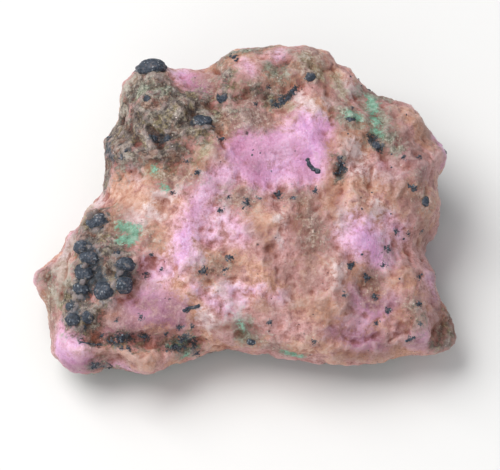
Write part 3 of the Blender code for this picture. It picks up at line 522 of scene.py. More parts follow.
# Relief: lumps, knobs, crevices and grit, calmer where the stone broke along a smooth plane
smoothPlaces = [
    ([(15.0, 28.8), (16.8, 30.0)], 1.6),
    ([(11.6, 31.8), (16.4, 31.0)], 1.2),
    ([(25.0, 15.4), (31.0, 14.4)], 1.8),
    ([(25.0, 17.4), (30.4, 17.0)], 1.2),
    ([(20.8, 18.4), (18.8, 24.0)], 0.8),
    ([(6.0, 33.6), (7.4, 36.2)], 1.8),
    ([(25.0, 6.8)], 1.5),
    ([(20.4, 19.4), (18.6, 24.6)], 1.0),
    ([(19.4, 7.6), (20.6, 8.6)], 1.0),
    ([(35.2, 23.6), (37.2, 25.4)], 1.7),
]
dents = [  # path, radius in mm, depth in mm
    ([(33.6, 15.8), (34.1, 16.6), (33.7, 17.6)], 0.28, 0.22),
    ([(34.8, 33.75), (35.8, 33.9), (36.9, 33.5)], 0.25, 0.22),
    ([(34.8, 30.5), (35.6, 31.0), (36.4, 31.5)], 0.25, 0.14),
    ([(32.6, 8.8), (33.2, 10.6), (33.1, 12.4)], 0.4, 0.2),
    ([(9.0, 33.9), (11.2, 34.3), (13.6, 33.9), (16.6, 34.5), (19.8, 34.2)], 0.5, 0.18),
    ([(21.3, 5.7), (21.5, 6.6), (21.9, 7.4)], 0.28, 0.4),
    ([(21.6, 32.9), (23.6, 32.6), (25.0, 34.0)], 0.45, 0.2),
    ([(11.6, 11.6), (12.9, 12.8), (13.8, 14.2)], 0.4, 0.35),
    ([(15.2, 12.8), (15.9, 13.6), (16.2, 14.6)], 0.4, 0.4),
    ([(21.6, 12.6), (22.3, 13.4), (22.6, 14.6)], 0.35, 0.3),
    ([(39.8, 30.6), (39.9, 32.2), (39.4, 33.8)], 0.35, 0.12),
    ([(36.4, 28.0), (37.4, 29.4)], 0.7, 0.15),
    ([(7.0, 25.4), (6.2, 29.6)], 0.35, 0.3),
    ([(37.4, 13.8), (38.4, 16.0)], 0.5, 0.16),
    ([(42.9, 17.6), (42.5, 19.0), (42.3, 20.4)], 0.4, 0.12),
    ([(26.7, 21.5), (26.4, 25.0), (26.4, 30.0)], 0.8, 0.22),
    ([(32.9, 22.0), (33.0, 27.0), (32.6, 30.5)], 0.8, 0.15),
    ([(4.9, 27.7)], 0.5, 0.3),
    # the depth is less than 0 where the stone swells instead
    ([(15.0, 8.4)], 1.1, -0.35),
    ([(35.4, 23.8), (37.0, 25.0)], 1.3, -0.2),
    ([(4.0, 28.2)], 1.3, -0.35),
    ([(44.0, 15.4)], 1.3, -0.4),
    ([(5.6, 34.8)], 1.6, -0.3),
    ([(23.0, 5.4)], 1.2, -0.25),
    ([(31.0, 5.0)], 1.2, -0.2),
    ([(41.6, 11.8)], 1.4, -0.25),
    ([(8.4, 36.6)], 1.1, -0.2),
]
fills = [  # path, radius in mm, and how far the stone fills out towards the viewer, in mm
    ([(30.2, 19.5), (29.6, 24.0), (28.9, 29.6)], 1.4, 0.80),
    ([(28.2, 22.5), (28.4, 26.0), (28.2, 30.0)], 0.8, 0.20),
    ([(30.4, 20.5), (30.5, 24.0), (30.4, 29.6)], 0.8, 0.20),
    ([(39.8, 31.2), (39.8, 34.0)], 0.8, 0.45),
    ([(14.2, 7.5), (15.8, 7.5)], 0.5, 0.45),
    ([(19.9, 23.6), (20.0, 25.4)], 0.8, 0.22),
]
ballSizes = [  # across, down and radius in mm, then how wide and how tall it is as shares of that
    (9.9, 22.3, 1.05, 1.0, 0.95), (8.5, 24.5, 0.75, 1.05, 0.9), (9.5, 25.6, 0.85, 1.15, 0.75),
    (12.6, 26.6, 0.80, 1.1, 0.8), (8.9, 27.4, 0.95, 0.95, 1.05), (12.45, 28.1, 0.85, 1.0, 0.95),
    (10.9, 29.3, 0.90, 1.0, 0.9), (8.5, 28.7, 0.80, 1.05, 0.9), (7.4, 30.4, 0.60, 1.0, 0.9),
    (7.7, 31.9, 0.70, 1.05, 0.85), (9.0, 31.3, 0.60, 0.9, 1.0), (22.4, 9.7, 0.65, 1.0, 1.0),
    (20.1, 12.3, 0.85, 1.2, 0.8), (14.8, 9.8, 0.50, 0.95, 1.0), (15.0, 7.0, 1.15, 1.15, 0.74),
    (30.9, 7.8, 0.50, 1.1, 1.0), (37.5, 14.5, 0.55, 1.2, 0.8), (42.3, 20.2, 0.50, 0.9, 1.1),
    (35.0, 12.1, 0.45, 1.2, 0.7), (25.1, 34.0, 0.45, 1.1, 0.9),
]
ballPlace = {  # as shares of a ball's radius
    "firstReach": 0.6,  # how far from the ray's hit the first guess of the bump goes
    "rounds": 2,
    "reach": 1.3,  # how far from its middle the surface is still the bump's own
    "above": 0.3,  # how far above its middle
    "towardsViewer": 0.4,  # how much of the viewer's side is added to the way it stands out
    "coversOut": (1.35, 1.15),  # distances between which the stone comes to lie under the ball
    "coversUp": (0.10, 0.40),  # the same for the cosine of the angle to the way it stands out
    "drawnTo": 0.62,  # what the stone under it draws back to
    "collar": 0.20,  # how far the rock climbs around its foot
    "collarOut": (2.1, 1.25),  # distances between which it climbs
    "collarSeen": (-0.2, 0.4),  # turn towards the viewer between which it climbs
    "collarGrain": (0.7, (2.7, 6.1, 4.4), 0.55, 1.3),  # its lumps: size in mm, shift, level, strength
}
ballMiddles, ballUps = [], []
for across, down, radius, _, _ in ballSizes:
    # the round bump that the ray meets: its middle, and the way it stands out
    hit = np.array(faceHit(tree, across, down)[0]) / mm
    near = np.linalg.norm(points - hit, axis=1) < ballPlace["firstReach"] * radius
    middle = (points[near] - radius * normals[near]).mean(axis=0)
    for _ in range(ballPlace["rounds"]):
        away = points - middle
        gap = np.linalg.norm(away, axis=1) / radius
        up = away[gap < ballPlace["reach"]].mean(axis=0)
        up /= np.linalg.norm(up)
        near = (gap < ballPlace["reach"]) & (away @ up > ballPlace["above"] * radius)
        middle = (points[near] - radius * normals[near]).mean(axis=0)
    ballMiddles.append(middle)
    up = up + ballPlace["towardsViewer"] * faceOut
    ballUps.append(up / np.linalg.norm(up))
calmEdge = stoneShape["calmEdge"]
smoothGap = distanceToStrokes(points, tree, smoothPlaces)
calm = stoneShape["calm"] * smoothStep(calmEdge, -calmEdge, smoothGap) * seen
standing = smoothStep(0.0, stoneShape["flatHeight"], points[:, 2])
rough = stone.vertex_groups.new(name="rough")
fine = stone.vertex_groups.new(name="fine")
onRough, everywhere, onRock = stoneShape["gritShares"]
for index, (share, flat, rocky) in enumerate(zip(1.0 - calm, standing, masks["rock"])):
    rough.add([index], float(share * flat), "REPLACE")
    fine.add([index], float(flat * (onRough * share + everywhere + onRock * rocky)), "REPLACE")

lumpSize, lumpHeight = stoneShape["lumps"]
knobSize, knobHeight = stoneShape["knobs"]
smallSize, smallHeight = stoneShape["smallKnobs"]
gritSize, gritHeight = stoneShape["grit"]
knobLevel = stoneShape["knobLevel"]
displace(stone, "lumps", cloudTexture("lumps", lumpSize), lumpHeight, 0.5, "rough")
displace(stone, "knobs", knobTexture("knobs", knobSize), knobHeight, knobLevel, "rough")
displace(stone, "smallKnobs", knobTexture("smallKnobs", smallSize), smallHeight, knobLevel, "rough")
displace(stone, "grit", cloudTexture("grit", gritSize, 1, "VORONOI_F1"), gritHeight, 0.5, "fine")
applyModifiers(stone)

foldGap = distanceToStrokes(points, tree, [stoneShape["folds"]])
across = points @ faceAcross / stoneShape["foldWidth"]
along = points @ faceUp / stoneShape["foldLength"]
foldShift = stoneShape["foldShift"]
folds = np.array([noise.noise(Vector((one, two, foldShift))) for one, two in zip(across, along)])
inward = -stoneShape["foldHeight"] * folds * smoothStep(*stoneShape["foldEdge"], foldGap) * seen
uneven = shifted[stoneShape["reliefWander"]]
for path, radius, depth in dents:
    gap = distanceToStrokes(uneven, tree, [(path, 0.0)])
    inward += depth * np.exp(-((gap / radius) ** 2))
for size, shift, depth in stoneShape["crevices"]:
    line = noiseAt(uneven, size, shift)
    groove = depth * (1.0 - calm) * np.exp(-((line / stoneShape["creviceWidth"]) ** 2))
    groove *= smoothStep(*stoneShape["creviceBreaks"], noiseAt(points, 2.0 * size, shift))
    inward += groove * smoothStep(*stoneShape["creviceEdge"], foldGap)
inward -= stoneShape["crust"] * smoothStep(*stoneShape["crustEdge"], masks["green"])
points = meshPoints(stone) / mm - meshNormals(stone) * (inward * standing)[:, None]
for path, radius, height in fills:
    gap = distanceToStrokes(points, tree, [(path, 0.0)])
    points += (height * np.exp(-((gap / radius) ** 2)) * standing)[:, None] * faceOut
normals = meshNormals(stone)
climb, sunk = np.zeros(len(points)), np.zeros_like(points)
for middle, up, ball in zip(ballMiddles, ballUps, ballSizes):
    away = points - middle
    gap = np.linalg.norm(away, axis=1) / ball[2]
    covered = smoothStep(*ballPlace["coversOut"], gap)
    covered *= smoothStep(*ballPlace["coversUp"], (away @ up) / (gap * ball[2]))
    # the stone draws back under a ball, and climbs around its foot
    sunk -= away * (covered * np.clip(1.0 - ballPlace["drawnTo"] / gap, 0.0, 1.0))[:, None]
    around = ballPlace["collar"] * ball[2] * smoothStep(*ballPlace["collarOut"], gap) * (1.0 - covered)
    climb = np.maximum(climb, around)
size, shift, level, strength = ballPlace["collarGrain"]
climb *= level + strength * noiseAt(points, size, shift)
climb *= standing * smoothStep(*ballPlace["collarSeen"], facing)
points += sunk + normals * climb[:, None]
points[:, 2] = np.maximum(points[:, 2], 0.0)
placePoints(stone, points * mm)
stone.vertex_groups.clear()


def hollowness(piece, rounds):
    # how far each point lies below the evened surface around it, in mm: less than 0 on a ridge
    count = len(piece.data.edges)
    ends = np.empty(count * 2, np.int32)
    piece.data.edges.foreach_get("vertices", ends)
    first, second = ends.reshape(-1, 2).T
    start = meshPoints(piece) / mm
    spots = start.copy()
    links = np.bincount(first, minlength=len(spots)) + np.bincount(second, minlength=len(spots))
    for _ in range(rounds):
        total = np.empty_like(spots)
        for axis in range(3):
            total[:, axis] = np.bincount(first, spots[second, axis], len(spots))
            total[:, axis] += np.bincount(second, spots[first, axis], len(spots))
        spots = total / np.maximum(links, 1)[:, None]
    return ((spots - start) * meshNormals(piece)).sum(axis=1)


for name, (rounds, strength) in stoneShape["hollows"].items():
    saveMask(stone, name, np.clip(0.5 + hollowness(stone, rounds) * strength, 0.0, 1.0))
for name, values in masks.items():
    saveMask(stone, name, values)
stone.data.shade_smooth()
print("stone shaped:", len(stone.data.polygons), "faces")


# Shader helpers
def addNode(nodes, kind, **settings):
    node = nodes.new(kind)
    for name, value in settings.items():
        setattr(node, name, value)
    return node


def feed(nodeTree, socket, value):
    if isinstance(value, bpy.types.NodeSocket):
        nodeTree.links.new(value, socket)
    elif value is not None:
        socket.default_value = value


def calculate(nodeTree, operation, first, second=None, third=None, clamp=False):
    node = addNode(nodeTree.nodes, "ShaderNodeMath", operation=operation, use_clamp=clamp)
    for socket, value in zip(node.inputs, (first, second, third)):
        feed(nodeTree, socket, value)
    return node.outputs[0]


def rangeOf(nodeTree, value, low, high, toLow=0.0, toHigh=1.0):
    node = addNode(nodeTree.nodes, "ShaderNodeMapRange", interpolation_type="SMOOTHSTEP")
    for name, given in (
        ("Value", value), ("From Min", low), ("From Max", high), ("To Min", toLow), ("To Max", toHigh)
    ):
        feed(nodeTree, node.inputs[name], given)
    return node.outputs["Result"]


def blendColours(nodeTree, share, first, second, kind="MIX"):
    node = addNode(nodeTree.nodes, "ShaderNodeMix", data_type="RGBA", blend_type=kind)
    for socket, value in ((node.inputs[0], share), (node.inputs[6], first), (node.inputs[7], second)):
        feed(nodeTree, socket, value)
    return node.outputs[2]


def noiseNode(nodeTree, place, size, detail=3.0, roughness=0.55, bend=0.0):
    node = addNode(nodeTree.nodes, "ShaderNodeTexNoise")
    feed(nodeTree, node.inputs["Vector"], place)
    for name, value in (
        ("Scale", 1.0 / size), ("Detail", detail), ("Roughness", roughness), ("Distortion", bend)
    ):
        node.inputs[name].default_value = value
    return node.outputs["Fac"]


def mixedNoise(nodeTree, parts):
    # 0.5, and what each pattern strays from 0.5 times its share
    total = 0.5 - 0.5 * sum(share for _, share in parts)
    for pattern, share in parts:
        total = calculate(nodeTree, "MULTIPLY_ADD", pattern, share, total)
    return total


def colourRamp(nodeTree, value, stops):
    node = addNode(nodeTree.nodes, "ShaderNodeValToRGB")
    while len(node.color_ramp.elements) < len(stops):
        node.color_ramp.elements.new(0.5)
    for element, (position, colour) in zip(node.color_ramp.elements, stops):
        element.position = position
        element.color = (*[toLinear(part) for part in colour], 1.0)
    feed(nodeTree, node.inputs["Fac"], value)
    return node.outputs["Color"]


def toLinear(part):
    # colours are written as they look on a screen, 0 to 255
    share = part / 255.0
    return share / 12.92 if share <= 0.04045 else ((share + 0.055) / 1.055) ** 2.4


def asColour(parts):
    return (*[toLinear(part) for part in parts], 1.0)


def objectPlace(nodeTree):
    # object coordinates turned to mm
    coordinates = addNode(nodeTree.nodes, "ShaderNodeTexCoord")
    mapping = addNode(nodeTree.nodes, "ShaderNodeMapping")
    mapping.inputs["Scale"].default_value = (1000.0, 1000.0, 1000.0)
    nodeTree.links.new(coordinates.outputs["Object"], mapping.inputs["Vector"])
    return mapping.outputs["Vector"]


def newGroup(name, inputs, outputs):
    group = bpy.data.node_groups.new(name, "ShaderNodeTree")
    for label, kind, value in inputs:
        socket = group.interface.new_socket(label, in_out="INPUT", socket_type=kind)
        if value is not None:
            socket.default_value = value
    for label, kind in outputs:
        group.interface.new_socket(label, in_out="OUTPUT", socket_type=kind)
    return group, group.nodes.new("NodeGroupInput"), group.nodes.new("NodeGroupOutput")


def placeGroup(nodeTree, group, **values):
    node = addNode(nodeTree.nodes, "ShaderNodeGroup", node_tree=group)
    for name, value in values.items():
        feed(nodeTree, node.inputs[name], value)
    return node


def makeSpecks():
    # scattered specks: a few cells of a pattern, each with a dot in it
    group, given, result = newGroup(
        "scatteredSpecks",
        [("Place", "NodeSocketVector", None), ("Density", "NodeSocketFloat", 1.0),
         ("Share", "NodeSocketFloat", 0.2), ("Size", "NodeSocketFloat", 0.3)],
        [("Speck", "NodeSocketFloat")],
    )
    bent = addNode(group.nodes, "ShaderNodeTexNoise")
    bent.inputs["Scale"].default_value = 3.0
    group.links.new(given.outputs["Place"], bent.inputs["Vector"])
    moved = addNode(group.nodes, "ShaderNodeVectorMath", operation="MULTIPLY_ADD")
    group.links.new(bent.outputs["Color"], moved.inputs[0])
    moved.inputs[1].default_value = (0.28, 0.28, 0.28)
    group.links.new(given.outputs["Place"], moved.inputs[2])
    cell = addNode(group.nodes, "ShaderNodeTexVoronoi")
    group.links.new(moved.outputs[0], cell.inputs["Vector"])
    group.links.new(given.outputs["Density"], cell.inputs["Scale"])
    parts = addNode(group.nodes, "ShaderNodeSeparateColor")
    group.links.new(cell.outputs["Color"], parts.inputs[0])
    chosen = calculate(group, "LESS_THAN", parts.outputs[0], given.outputs["Share"])
    shareOfSize = calculate(group, "MULTIPLY_ADD", parts.outputs[1], 0.7, 0.3)
    reach = calculate(group, "MULTIPLY", given.outputs["Size"], shareOfSize)
    inside = calculate(group, "SUBTRACT", reach, cell.outputs["Distance"])
    dot = calculate(group, "MULTIPLY", inside, 14.0, clamp=True)
    group.links.new(calculate(group, "MULTIPLY", dot, chosen), result.inputs["Speck"])
    return group


def makeGrains():
    # crystal grains: each small cell has its own height and brightness, and a few of them catch the light
    group, given, result = newGroup(
        "crystalGrains",
        [("Place", "NodeSocketVector", None), ("Density", "NodeSocketFloat", 3.0)],
        [("Height", "NodeSocketFloat"), ("Tone", "NodeSocketFloat"), ("Glint", "NodeSocketFloat")],
    )
    cell = addNode(group.nodes, "ShaderNodeTexVoronoi")
    group.links.new(given.outputs["Place"], cell.inputs["Vector"])
    group.links.new(given.outputs["Density"], cell.inputs["Scale"])
    parts = addNode(group.nodes, "ShaderNodeSeparateColor")
    group.links.new(cell.outputs["Color"], parts.inputs[0])
    high = calculate(group, "MULTIPLY_ADD", parts.outputs[2], 0.5, 0.5)
    group.links.new(calculate(group, "SUBTRACT", high, cell.outputs["Distance"]), result.inputs["Height"])
    group.links.new(parts.outputs[0], result.inputs["Tone"])
    group.links.new(rangeOf(group, parts.outputs[1], 0.93, 0.97), result.inputs["Glint"])
    return group


specks = makeSpecks()
grains = makeGrains()


# The stone's material
stoneColours = {  # as they look on a screen, from the darkest grain to the palest
    "pink": [
        (0.22, (138, 92, 82)), (0.42, (183, 132, 126)), (0.56, (203, 154, 152)), (0.78, (220, 184, 184)),
    ],
    "salmon": [
        (0.22, (134, 88, 66)), (0.42, (186, 135, 111)), (0.56, (206, 157, 136)), (0.78, (224, 190, 175)),
    ],
    "lilac": [(0.22, (186, 128, 156)), (0.50, (223, 172, 202)), (0.78, (242, 212, 232))],
    "violet": [(0.22, (184, 120, 168)), (0.50, (220, 160, 210)), (0.78, (238, 200, 232))],
    "magenta": [(0.22, (156, 84, 116)), (0.50, (198, 130, 170)), (0.78, (220, 162, 202))],
    "mauve": [(0.22, (98, 52, 68)), (0.50, (149, 97, 117)), (0.78, (184, 137, 157))],
    "glassy": [(0.22, (128, 118, 98)), (0.50, (172, 162, 146)), (0.78, (206, 198, 188))],
    "peach": [(0.22, (160, 106, 82)), (0.50, (198, 150, 128)), (0.78, (222, 190, 174))],
    # the dull brown of the painted shade, also laid at random on the hidden sides
    "shade": [(0.22, (96, 66, 58)), (0.50, (148, 110, 98)), (0.78, (190, 152, 142))],
    "rust": [(0.22, (100, 58, 36)), (0.50, (158, 102, 72)), (0.78, (198, 146, 112))],
    "greyish": [
        (0.20, (58, 48, 42)), (0.42, (118, 98, 84)), (0.60, (160, 138, 122)), (0.82, (206, 190, 176)),
    ],
    "rock": [(0.20, (34, 32, 31)), (0.42, (76, 70, 63)), (0.58, (110, 102, 91)), (0.84, (166, 156, 140))],
    "oliveRock": [
        (0.20, (38, 32, 20)), (0.42, (84, 74, 48)), (0.58, (114, 101, 70)), (0.84, (158, 146, 114)),
    ],
    "rustyRock": [
        (0.20, (48, 31, 24)), (0.42, (92, 66, 52)), (0.58, (126, 94, 78)), (0.84, (166, 138, 120)),
    ],
    "tan": [(0.22, (96, 82, 50)), (0.50, (146, 132, 98)), (0.78, (186, 176, 150))],
    "pale": [(0.22, (190, 160, 160)), (0.50, (218, 196, 198)), (0.78, (238, 226, 226))],
    "sage": [(0.22, (60, 64, 52)), (0.50, (112, 122, 102)), (0.78, (162, 168, 150))],
    "green": [
        (0.22, (58, 92, 74)), (0.46, (102, 156, 130)), (0.62, (136, 188, 162)), (0.82, (188, 220, 204)),
    ],
    "dark": [(0.22, (20, 23, 30)), (0.50, (44, 52, 62)), (0.82, (98, 106, 112))],
}
stoneLook = {
    "order": [
        "peach", "pale", "lilac", "violet", "magenta", "mauve", "shade", "rust", "tan", "greyish", "rock",
        "glassy", "sage", "green", "dark",
    ],
    "raggedness": {
        "dark": 2.0, "green": 1.3, "sage": 1.5, "rock": 1.7, "greyish": 2.0, "pale": 1.9, "rust": 1.9,
        "lilac": 1.3,
    },
    "raggedElse": 1.6,
    "sharpness": {"dark": 0.12, "green": 0.20, "rock": 0.22, "rust": 0.28, "pale": 0.28, "lilac": 0.42},
    "sharpElse": 0.34,
    "strength": {
        "sage": 0.75, "green": 0.92, "rust": 0.6, "pale": 0.7, "rock": 0.94, "violet": 0.8, "magenta": 0.7,
        "mauve": 0.8, "glassy": 0.7, "tan": 0.8, "shade": 0.75, "greyish": 0.7,
    },
    "fineEdged": ["dark", "green", "rust", "greyish"],
    "speckled": ["greyish", "tan", "sage"],
    "rockPale": (196, 188, 170),  # grains in the rock
    "rockDark": (46, 40, 40),
    "dots": (72, 54, 56),
    # pale colour of the tiny painted glints
    "paintedGlint": (240, 232, 224),
    # colours for the painted shade in hollows, which also carries the rust stain gathered there, and for the
    # painted highlight on ridges
    "hollowShadeAndStain": (200, 140, 106),  # multiplied with the colour in hollows
    "deepShadeAndStain": (190, 136, 108),
    "ridgeHighlight": (236, 212, 206),
    "roughness": 0.46,
    "reliefHeight": 0.085,  # mm
    "underSurface": 0.18,  # share of the light that goes in and comes out again
    "underColours": (1.0, 0.5, 0.5),
    "underDepth": 0.6,  # mm
}


def makeStoneMaterial():
    material = bpy.data.materials.new("pinkStone")
    material.use_nodes = True
    nodeTree = material.node_tree
    nodes = nodeTree.nodes
    shader = nodes["Principled BSDF"]
    place = objectPlace(nodeTree)

    broad = noiseNode(nodeTree, place, 3.2, 4.0, 0.6, 0.3)
    middle = noiseNode(nodeTree, place, 1.1, 4.0, 0.6, 0.5)
    fineNoise = noiseNode(nodeTree, place, 0.42, 4.0, 0.65, 0.3)
    grit = noiseNode(nodeTree, place, 0.15, 3.0, 0.65)
    grain = placeGroup(nodeTree, grains, Place=place, Density=4.4)
    grainTone = grain.outputs["Tone"]
    mottle = mixedNoise(nodeTree, [(middle, 0.8), (fineNoise, 0.6), (grit, 0.4), (grainTone, 0.11)])
    speckle = mixedNoise(nodeTree, [(middle, 1.0), (fineNoise, 0.9), (grit, 0.9), (grainTone, 0.26)])
    warm = mixedNoise(nodeTree, [(broad, 2.6), (middle, 1.2), (fineNoise, 0.6)])
    hue = mixedNoise(nodeTree, [(noiseNode(nodeTree, place, 1.9, 3.0, 0.6, 0.4), 2.0), (fineNoise, 0.7)])
    patchNoise = mixedNoise(nodeTree, [(middle, 0.9), (fineNoise, 0.6), (grit, 0.25)])
    patchEdge = calculate(nodeTree, "SUBTRACT", patchNoise, 0.5)
    edgeNoise = mixedNoise(nodeTree, [(fineNoise, 0.9), (grit, 0.7), (grainTone, 0.12)])
    fineEdge = calculate(nodeTree, "SUBTRACT", edgeNoise, 0.5)

    pink = colourRamp(nodeTree, mottle, stoneColours["pink"])
    salmon = colourRamp(nodeTree, mottle, stoneColours["salmon"])
    colour = blendColours(nodeTree, rangeOf(nodeTree, warm, 0.42, 0.74), pink, salmon)
    covers = {}
    for name in stoneLook["order"]:
        mask = addNode(nodes, "ShaderNodeAttribute", attribute_name=name)
        wide = stoneLook["raggedness"].get(name, stoneLook["raggedElse"])
        edge = stoneLook["sharpness"].get(name, stoneLook["sharpElse"])
        ragged = fineEdge if name in stoneLook["fineEdged"] else patchEdge
        value = calculate(nodeTree, "MULTIPLY_ADD", ragged, wide, mask.outputs["Fac"])
        drawn = rangeOf(nodeTree, mask.outputs["Fac"], 0.02, 0.2)
        cover = rangeOf(nodeTree, value, 0.5 - edge, 0.5 + edge, 0.0, stoneLook["strength"].get(name, 1.0))
        covers[name] = cover = calculate(nodeTree, "MULTIPLY", cover, drawn)
        if name == "rock":
            own = colourRamp(nodeTree, speckle, stoneColours["rock"])
            olive = colourRamp(nodeTree, speckle, stoneColours["oliveRock"])
            rusty = colourRamp(nodeTree, speckle, stoneColours["rustyRock"])
            own = blendColours(nodeTree, rangeOf(nodeTree, hue, 0.56, 0.74), own, olive)
            own = blendColours(nodeTree, rangeOf(nodeTree, hue, 0.44, 0.28), own, rusty)
            colour = blendColours(nodeTree, cover, colour, own)
            continue
        pattern = speckle if name in stoneLook["speckled"] else mottle
        colour = blendColours(nodeTree, cover, colour, colourRamp(nodeTree, pattern, stoneColours[name]))

    # pale grains in the rock, dark dots all over, and tiny painted glints, whose points are also shinier
    rockGrain = placeGroup(nodeTree, specks, Place=place, Density=3.8, Share=0.16, Size=0.34)
    rocky = calculate(nodeTree, "MAXIMUM", covers["rock"], covers["greyish"])
    halfRocky = calculate(nodeTree, "MULTIPLY", rocky, 0.5)
    rockPale = calculate(nodeTree, "MULTIPLY", rockGrain.outputs[0], halfRocky)
    colour = blendColours(nodeTree, rockPale, colour, asColour(stoneLook["rockPale"]))
    rockDark = placeGroup(nodeTree, specks, Place=place, Density=2.3, Share=0.30, Size=0.46)
    mostlyRocky = calculate(nodeTree, "MULTIPLY", rocky, 0.7)
    rockDark = calculate(nodeTree, "MULTIPLY", rockDark.outputs[0], mostlyRocky)
    colour = blendColours(nodeTree, rockDark, colour, asColour(stoneLook["rockDark"]))
    fewDots = placeGroup(nodeTree, specks, Place=place, Density=0.8, Share=0.34, Size=0.16)
    manyDots = placeGroup(nodeTree, specks, Place=place, Density=2.2, Share=0.11, Size=0.22)
    dots = calculate(nodeTree, "MAXIMUM", fewDots.outputs[0], manyDots.outputs[0])
    dots = calculate(nodeTree, "MULTIPLY", dots, 0.85)
    colour = blendColours(nodeTree, dots, colour, asColour(stoneLook["dots"]))
    paintedGlint = placeGroup(nodeTree, specks, Place=place, Density=2.7, Share=0.15, Size=0.20)
    moreOnRock = calculate(nodeTree, "MULTIPLY_ADD", rocky, 0.4, 0.5)
    paintedGlintShare = calculate(nodeTree, "MULTIPLY", paintedGlint.outputs[0], moreOnRock)
    colour = blendColours(nodeTree, paintedGlintShare, colour, asColour(stoneLook["paintedGlint"]))

    # painted shade in the hollows, browner there also for the rust stain that gathers in them, and a painted
    # highlight on the ridges
    hollow = addNode(nodes, "ShaderNodeAttribute", attribute_name="hollow").outputs["Fac"]
    deepHollow = addNode(nodes, "ShaderNodeAttribute", attribute_name="deepHollow").outputs["Fac"]
    hollowShadeShare = rangeOf(nodeTree, hollow, 0.52, 0.95, 0.0, 0.6)
    colour = blendColours(nodeTree, hollowShadeShare, colour, asColour(stoneLook["hollowShadeAndStain"]), "MULTIPLY")
    deepShadeShare = rangeOf(nodeTree, deepHollow, 0.55, 0.95, 0.0, 0.5)
    colour = blendColours(nodeTree, deepShadeShare, colour, asColour(stoneLook["deepShadeAndStain"]), "MULTIPLY")
    ridgeHighlightShare = rangeOf(nodeTree, hollow, 0.46, 0.15, 0.0, 0.20)
    colour = blendColours(nodeTree, ridgeHighlightShare, colour, asColour(stoneLook["ridgeHighlight"]))
    feed(nodeTree, shader.inputs["Base Color"], colour)

    roughness = calculate(nodeTree, "MULTIPLY_ADD", fineNoise, 0.3, stoneLook["roughness"] - 0.12)
    roughness = calculate(nodeTree, "MULTIPLY_ADD", grain.outputs["Glint"], -0.3, roughness)
    roughness = calculate(nodeTree, "MULTIPLY_ADD", paintedGlint.outputs[0], -0.3, roughness, True)
    feed(nodeTree, shader.inputs["Roughness"], roughness)

    height = calculate(nodeTree, "MULTIPLY_ADD", grit, 0.45, calculate(nodeTree, "MULTIPLY", fineNoise, 0.95))
    height = calculate(nodeTree, "MULTIPLY_ADD", grain.outputs["Height"], 0.32, height)
    height = calculate(nodeTree, "MULTIPLY_ADD", dots, -0.25, height)
    height = calculate(nodeTree, "MULTIPLY", height, calculate(nodeTree, "MULTIPLY_ADD", rocky, 0.8, 1.0))
    bump = addNode(nodes, "ShaderNodeBump")
    bump.inputs["Strength"].default_value = 1.0
    bump.inputs["Distance"].default_value = stoneLook["reliefHeight"] * mm
    feed(nodeTree, bump.inputs["Height"], height)
    nodeTree.links.new(bump.outputs["Normal"], shader.inputs["Normal"])
    shader.inputs["IOR"].default_value = 1.5
    shader.inputs["Subsurface Weight"].default_value = stoneLook["underSurface"]
    shader.inputs["Subsurface Radius"].default_value = stoneLook["underColours"]
    shader.inputs["Subsurface Scale"].default_value = stoneLook["underDepth"] * mm
    return material


stone.data.materials.clear()
stone.data.materials.append(makeStoneMaterial())
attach(stone, "root")
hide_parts("raw_ruby")


# The dark balls and grains
ballShape = {
    "knobs": (0.33, 0.10),  # size and height as shares of a ball's radius, and so on below
    "dents": (0.75, 0.46),
    "knobLevel": 0.6,
    "models": 4,
    "fineness": 5,  # subdivisions
    "radiusShare": 1.14,
    "flatness": 0.80,  # height of a ball above the stone, as a share of its radius
    "raised": 0.11,
    "footHeight": 0.13,  # mm over which the rock's colour climbs a ball
}
grainShape = {
    "dents": (1.1, 0.9),  # size and height as shares of a grain's radius, and so on below
    "models": 6,
    "fineness": 2,
    "sunk": 0.30,
    "squash": (0.6, 1.0),
    "alone": 0.16,  # mm, radius below which a spot is one grain
    "middle": 0.62,  # grains of a larger spot, as shares of its radius
    "around": (0.35, 1.15),
    "sizes": (0.18, 0.42),
    "count": (3, 9),  # grains around the middle one, and how many more for each mm of radius
    "step": 0.6,  # grains along a line
    "stepSpread": 0.2,
    "lineSizes": (0.75, 1.15),
    "hiddenFrom": (-0.05, 0.8),  # turn towards the viewer, and mm above the table
    "hiddenCount": 60,
    "hiddenSizes": (0.14, 0.46),
    "seed": 11,
}


def lumpyBall(name, subdivisions, shift, dents, knobs=None):
    # a ball of radius 1 mm with dents, and small round knobs where it has them
    bpy.ops.object.select_all(action="DESELECT")
    bpy.ops.mesh.primitive_ico_sphere_add(subdivisions=subdivisions, radius=mm, location=shift)
    ball = bpy.context.object
    ball.name = name
    bpy.ops.object.transform_apply(location=True, rotation=False, scale=False)
    if knobs:
        displace(ball, "knobs", knobTexture(name + "Knobs", knobs[0]), knobs[1], ballShape["knobLevel"])
    displace(ball, "dents", cloudTexture(name + "Dents", dents[0]), dents[1])
    applyModifiers(ball)
    placePoints(ball, meshPoints(ball) - np.array(shift))
    return ball


def copyBall(model, middle, radius, turn, squash=1.0):
    copied = bpy.data.objects.new(model.name, model.data.copy())
    bpy.context.scene.collection.objects.link(copied)
    size = Matrix.Diagonal((radius, radius * squash, radius, 1.0))
    copied.data.transform(Matrix.Translation(middle) @ Euler(turn).to_matrix().to_4x4() @ size)
    return copied


def joinAs(name, copies, models):
    bpy.ops.object.select_all(action="DESELECT")
    for copied in copies:
        copied.select_set(True)
    bpy.context.view_layer.objects.active = copies[0]
    bpy.ops.object.join()
    joined = bpy.context.object
    joined.name = name
    for model in models:
        bpy.data.objects.remove(model)
    return joined


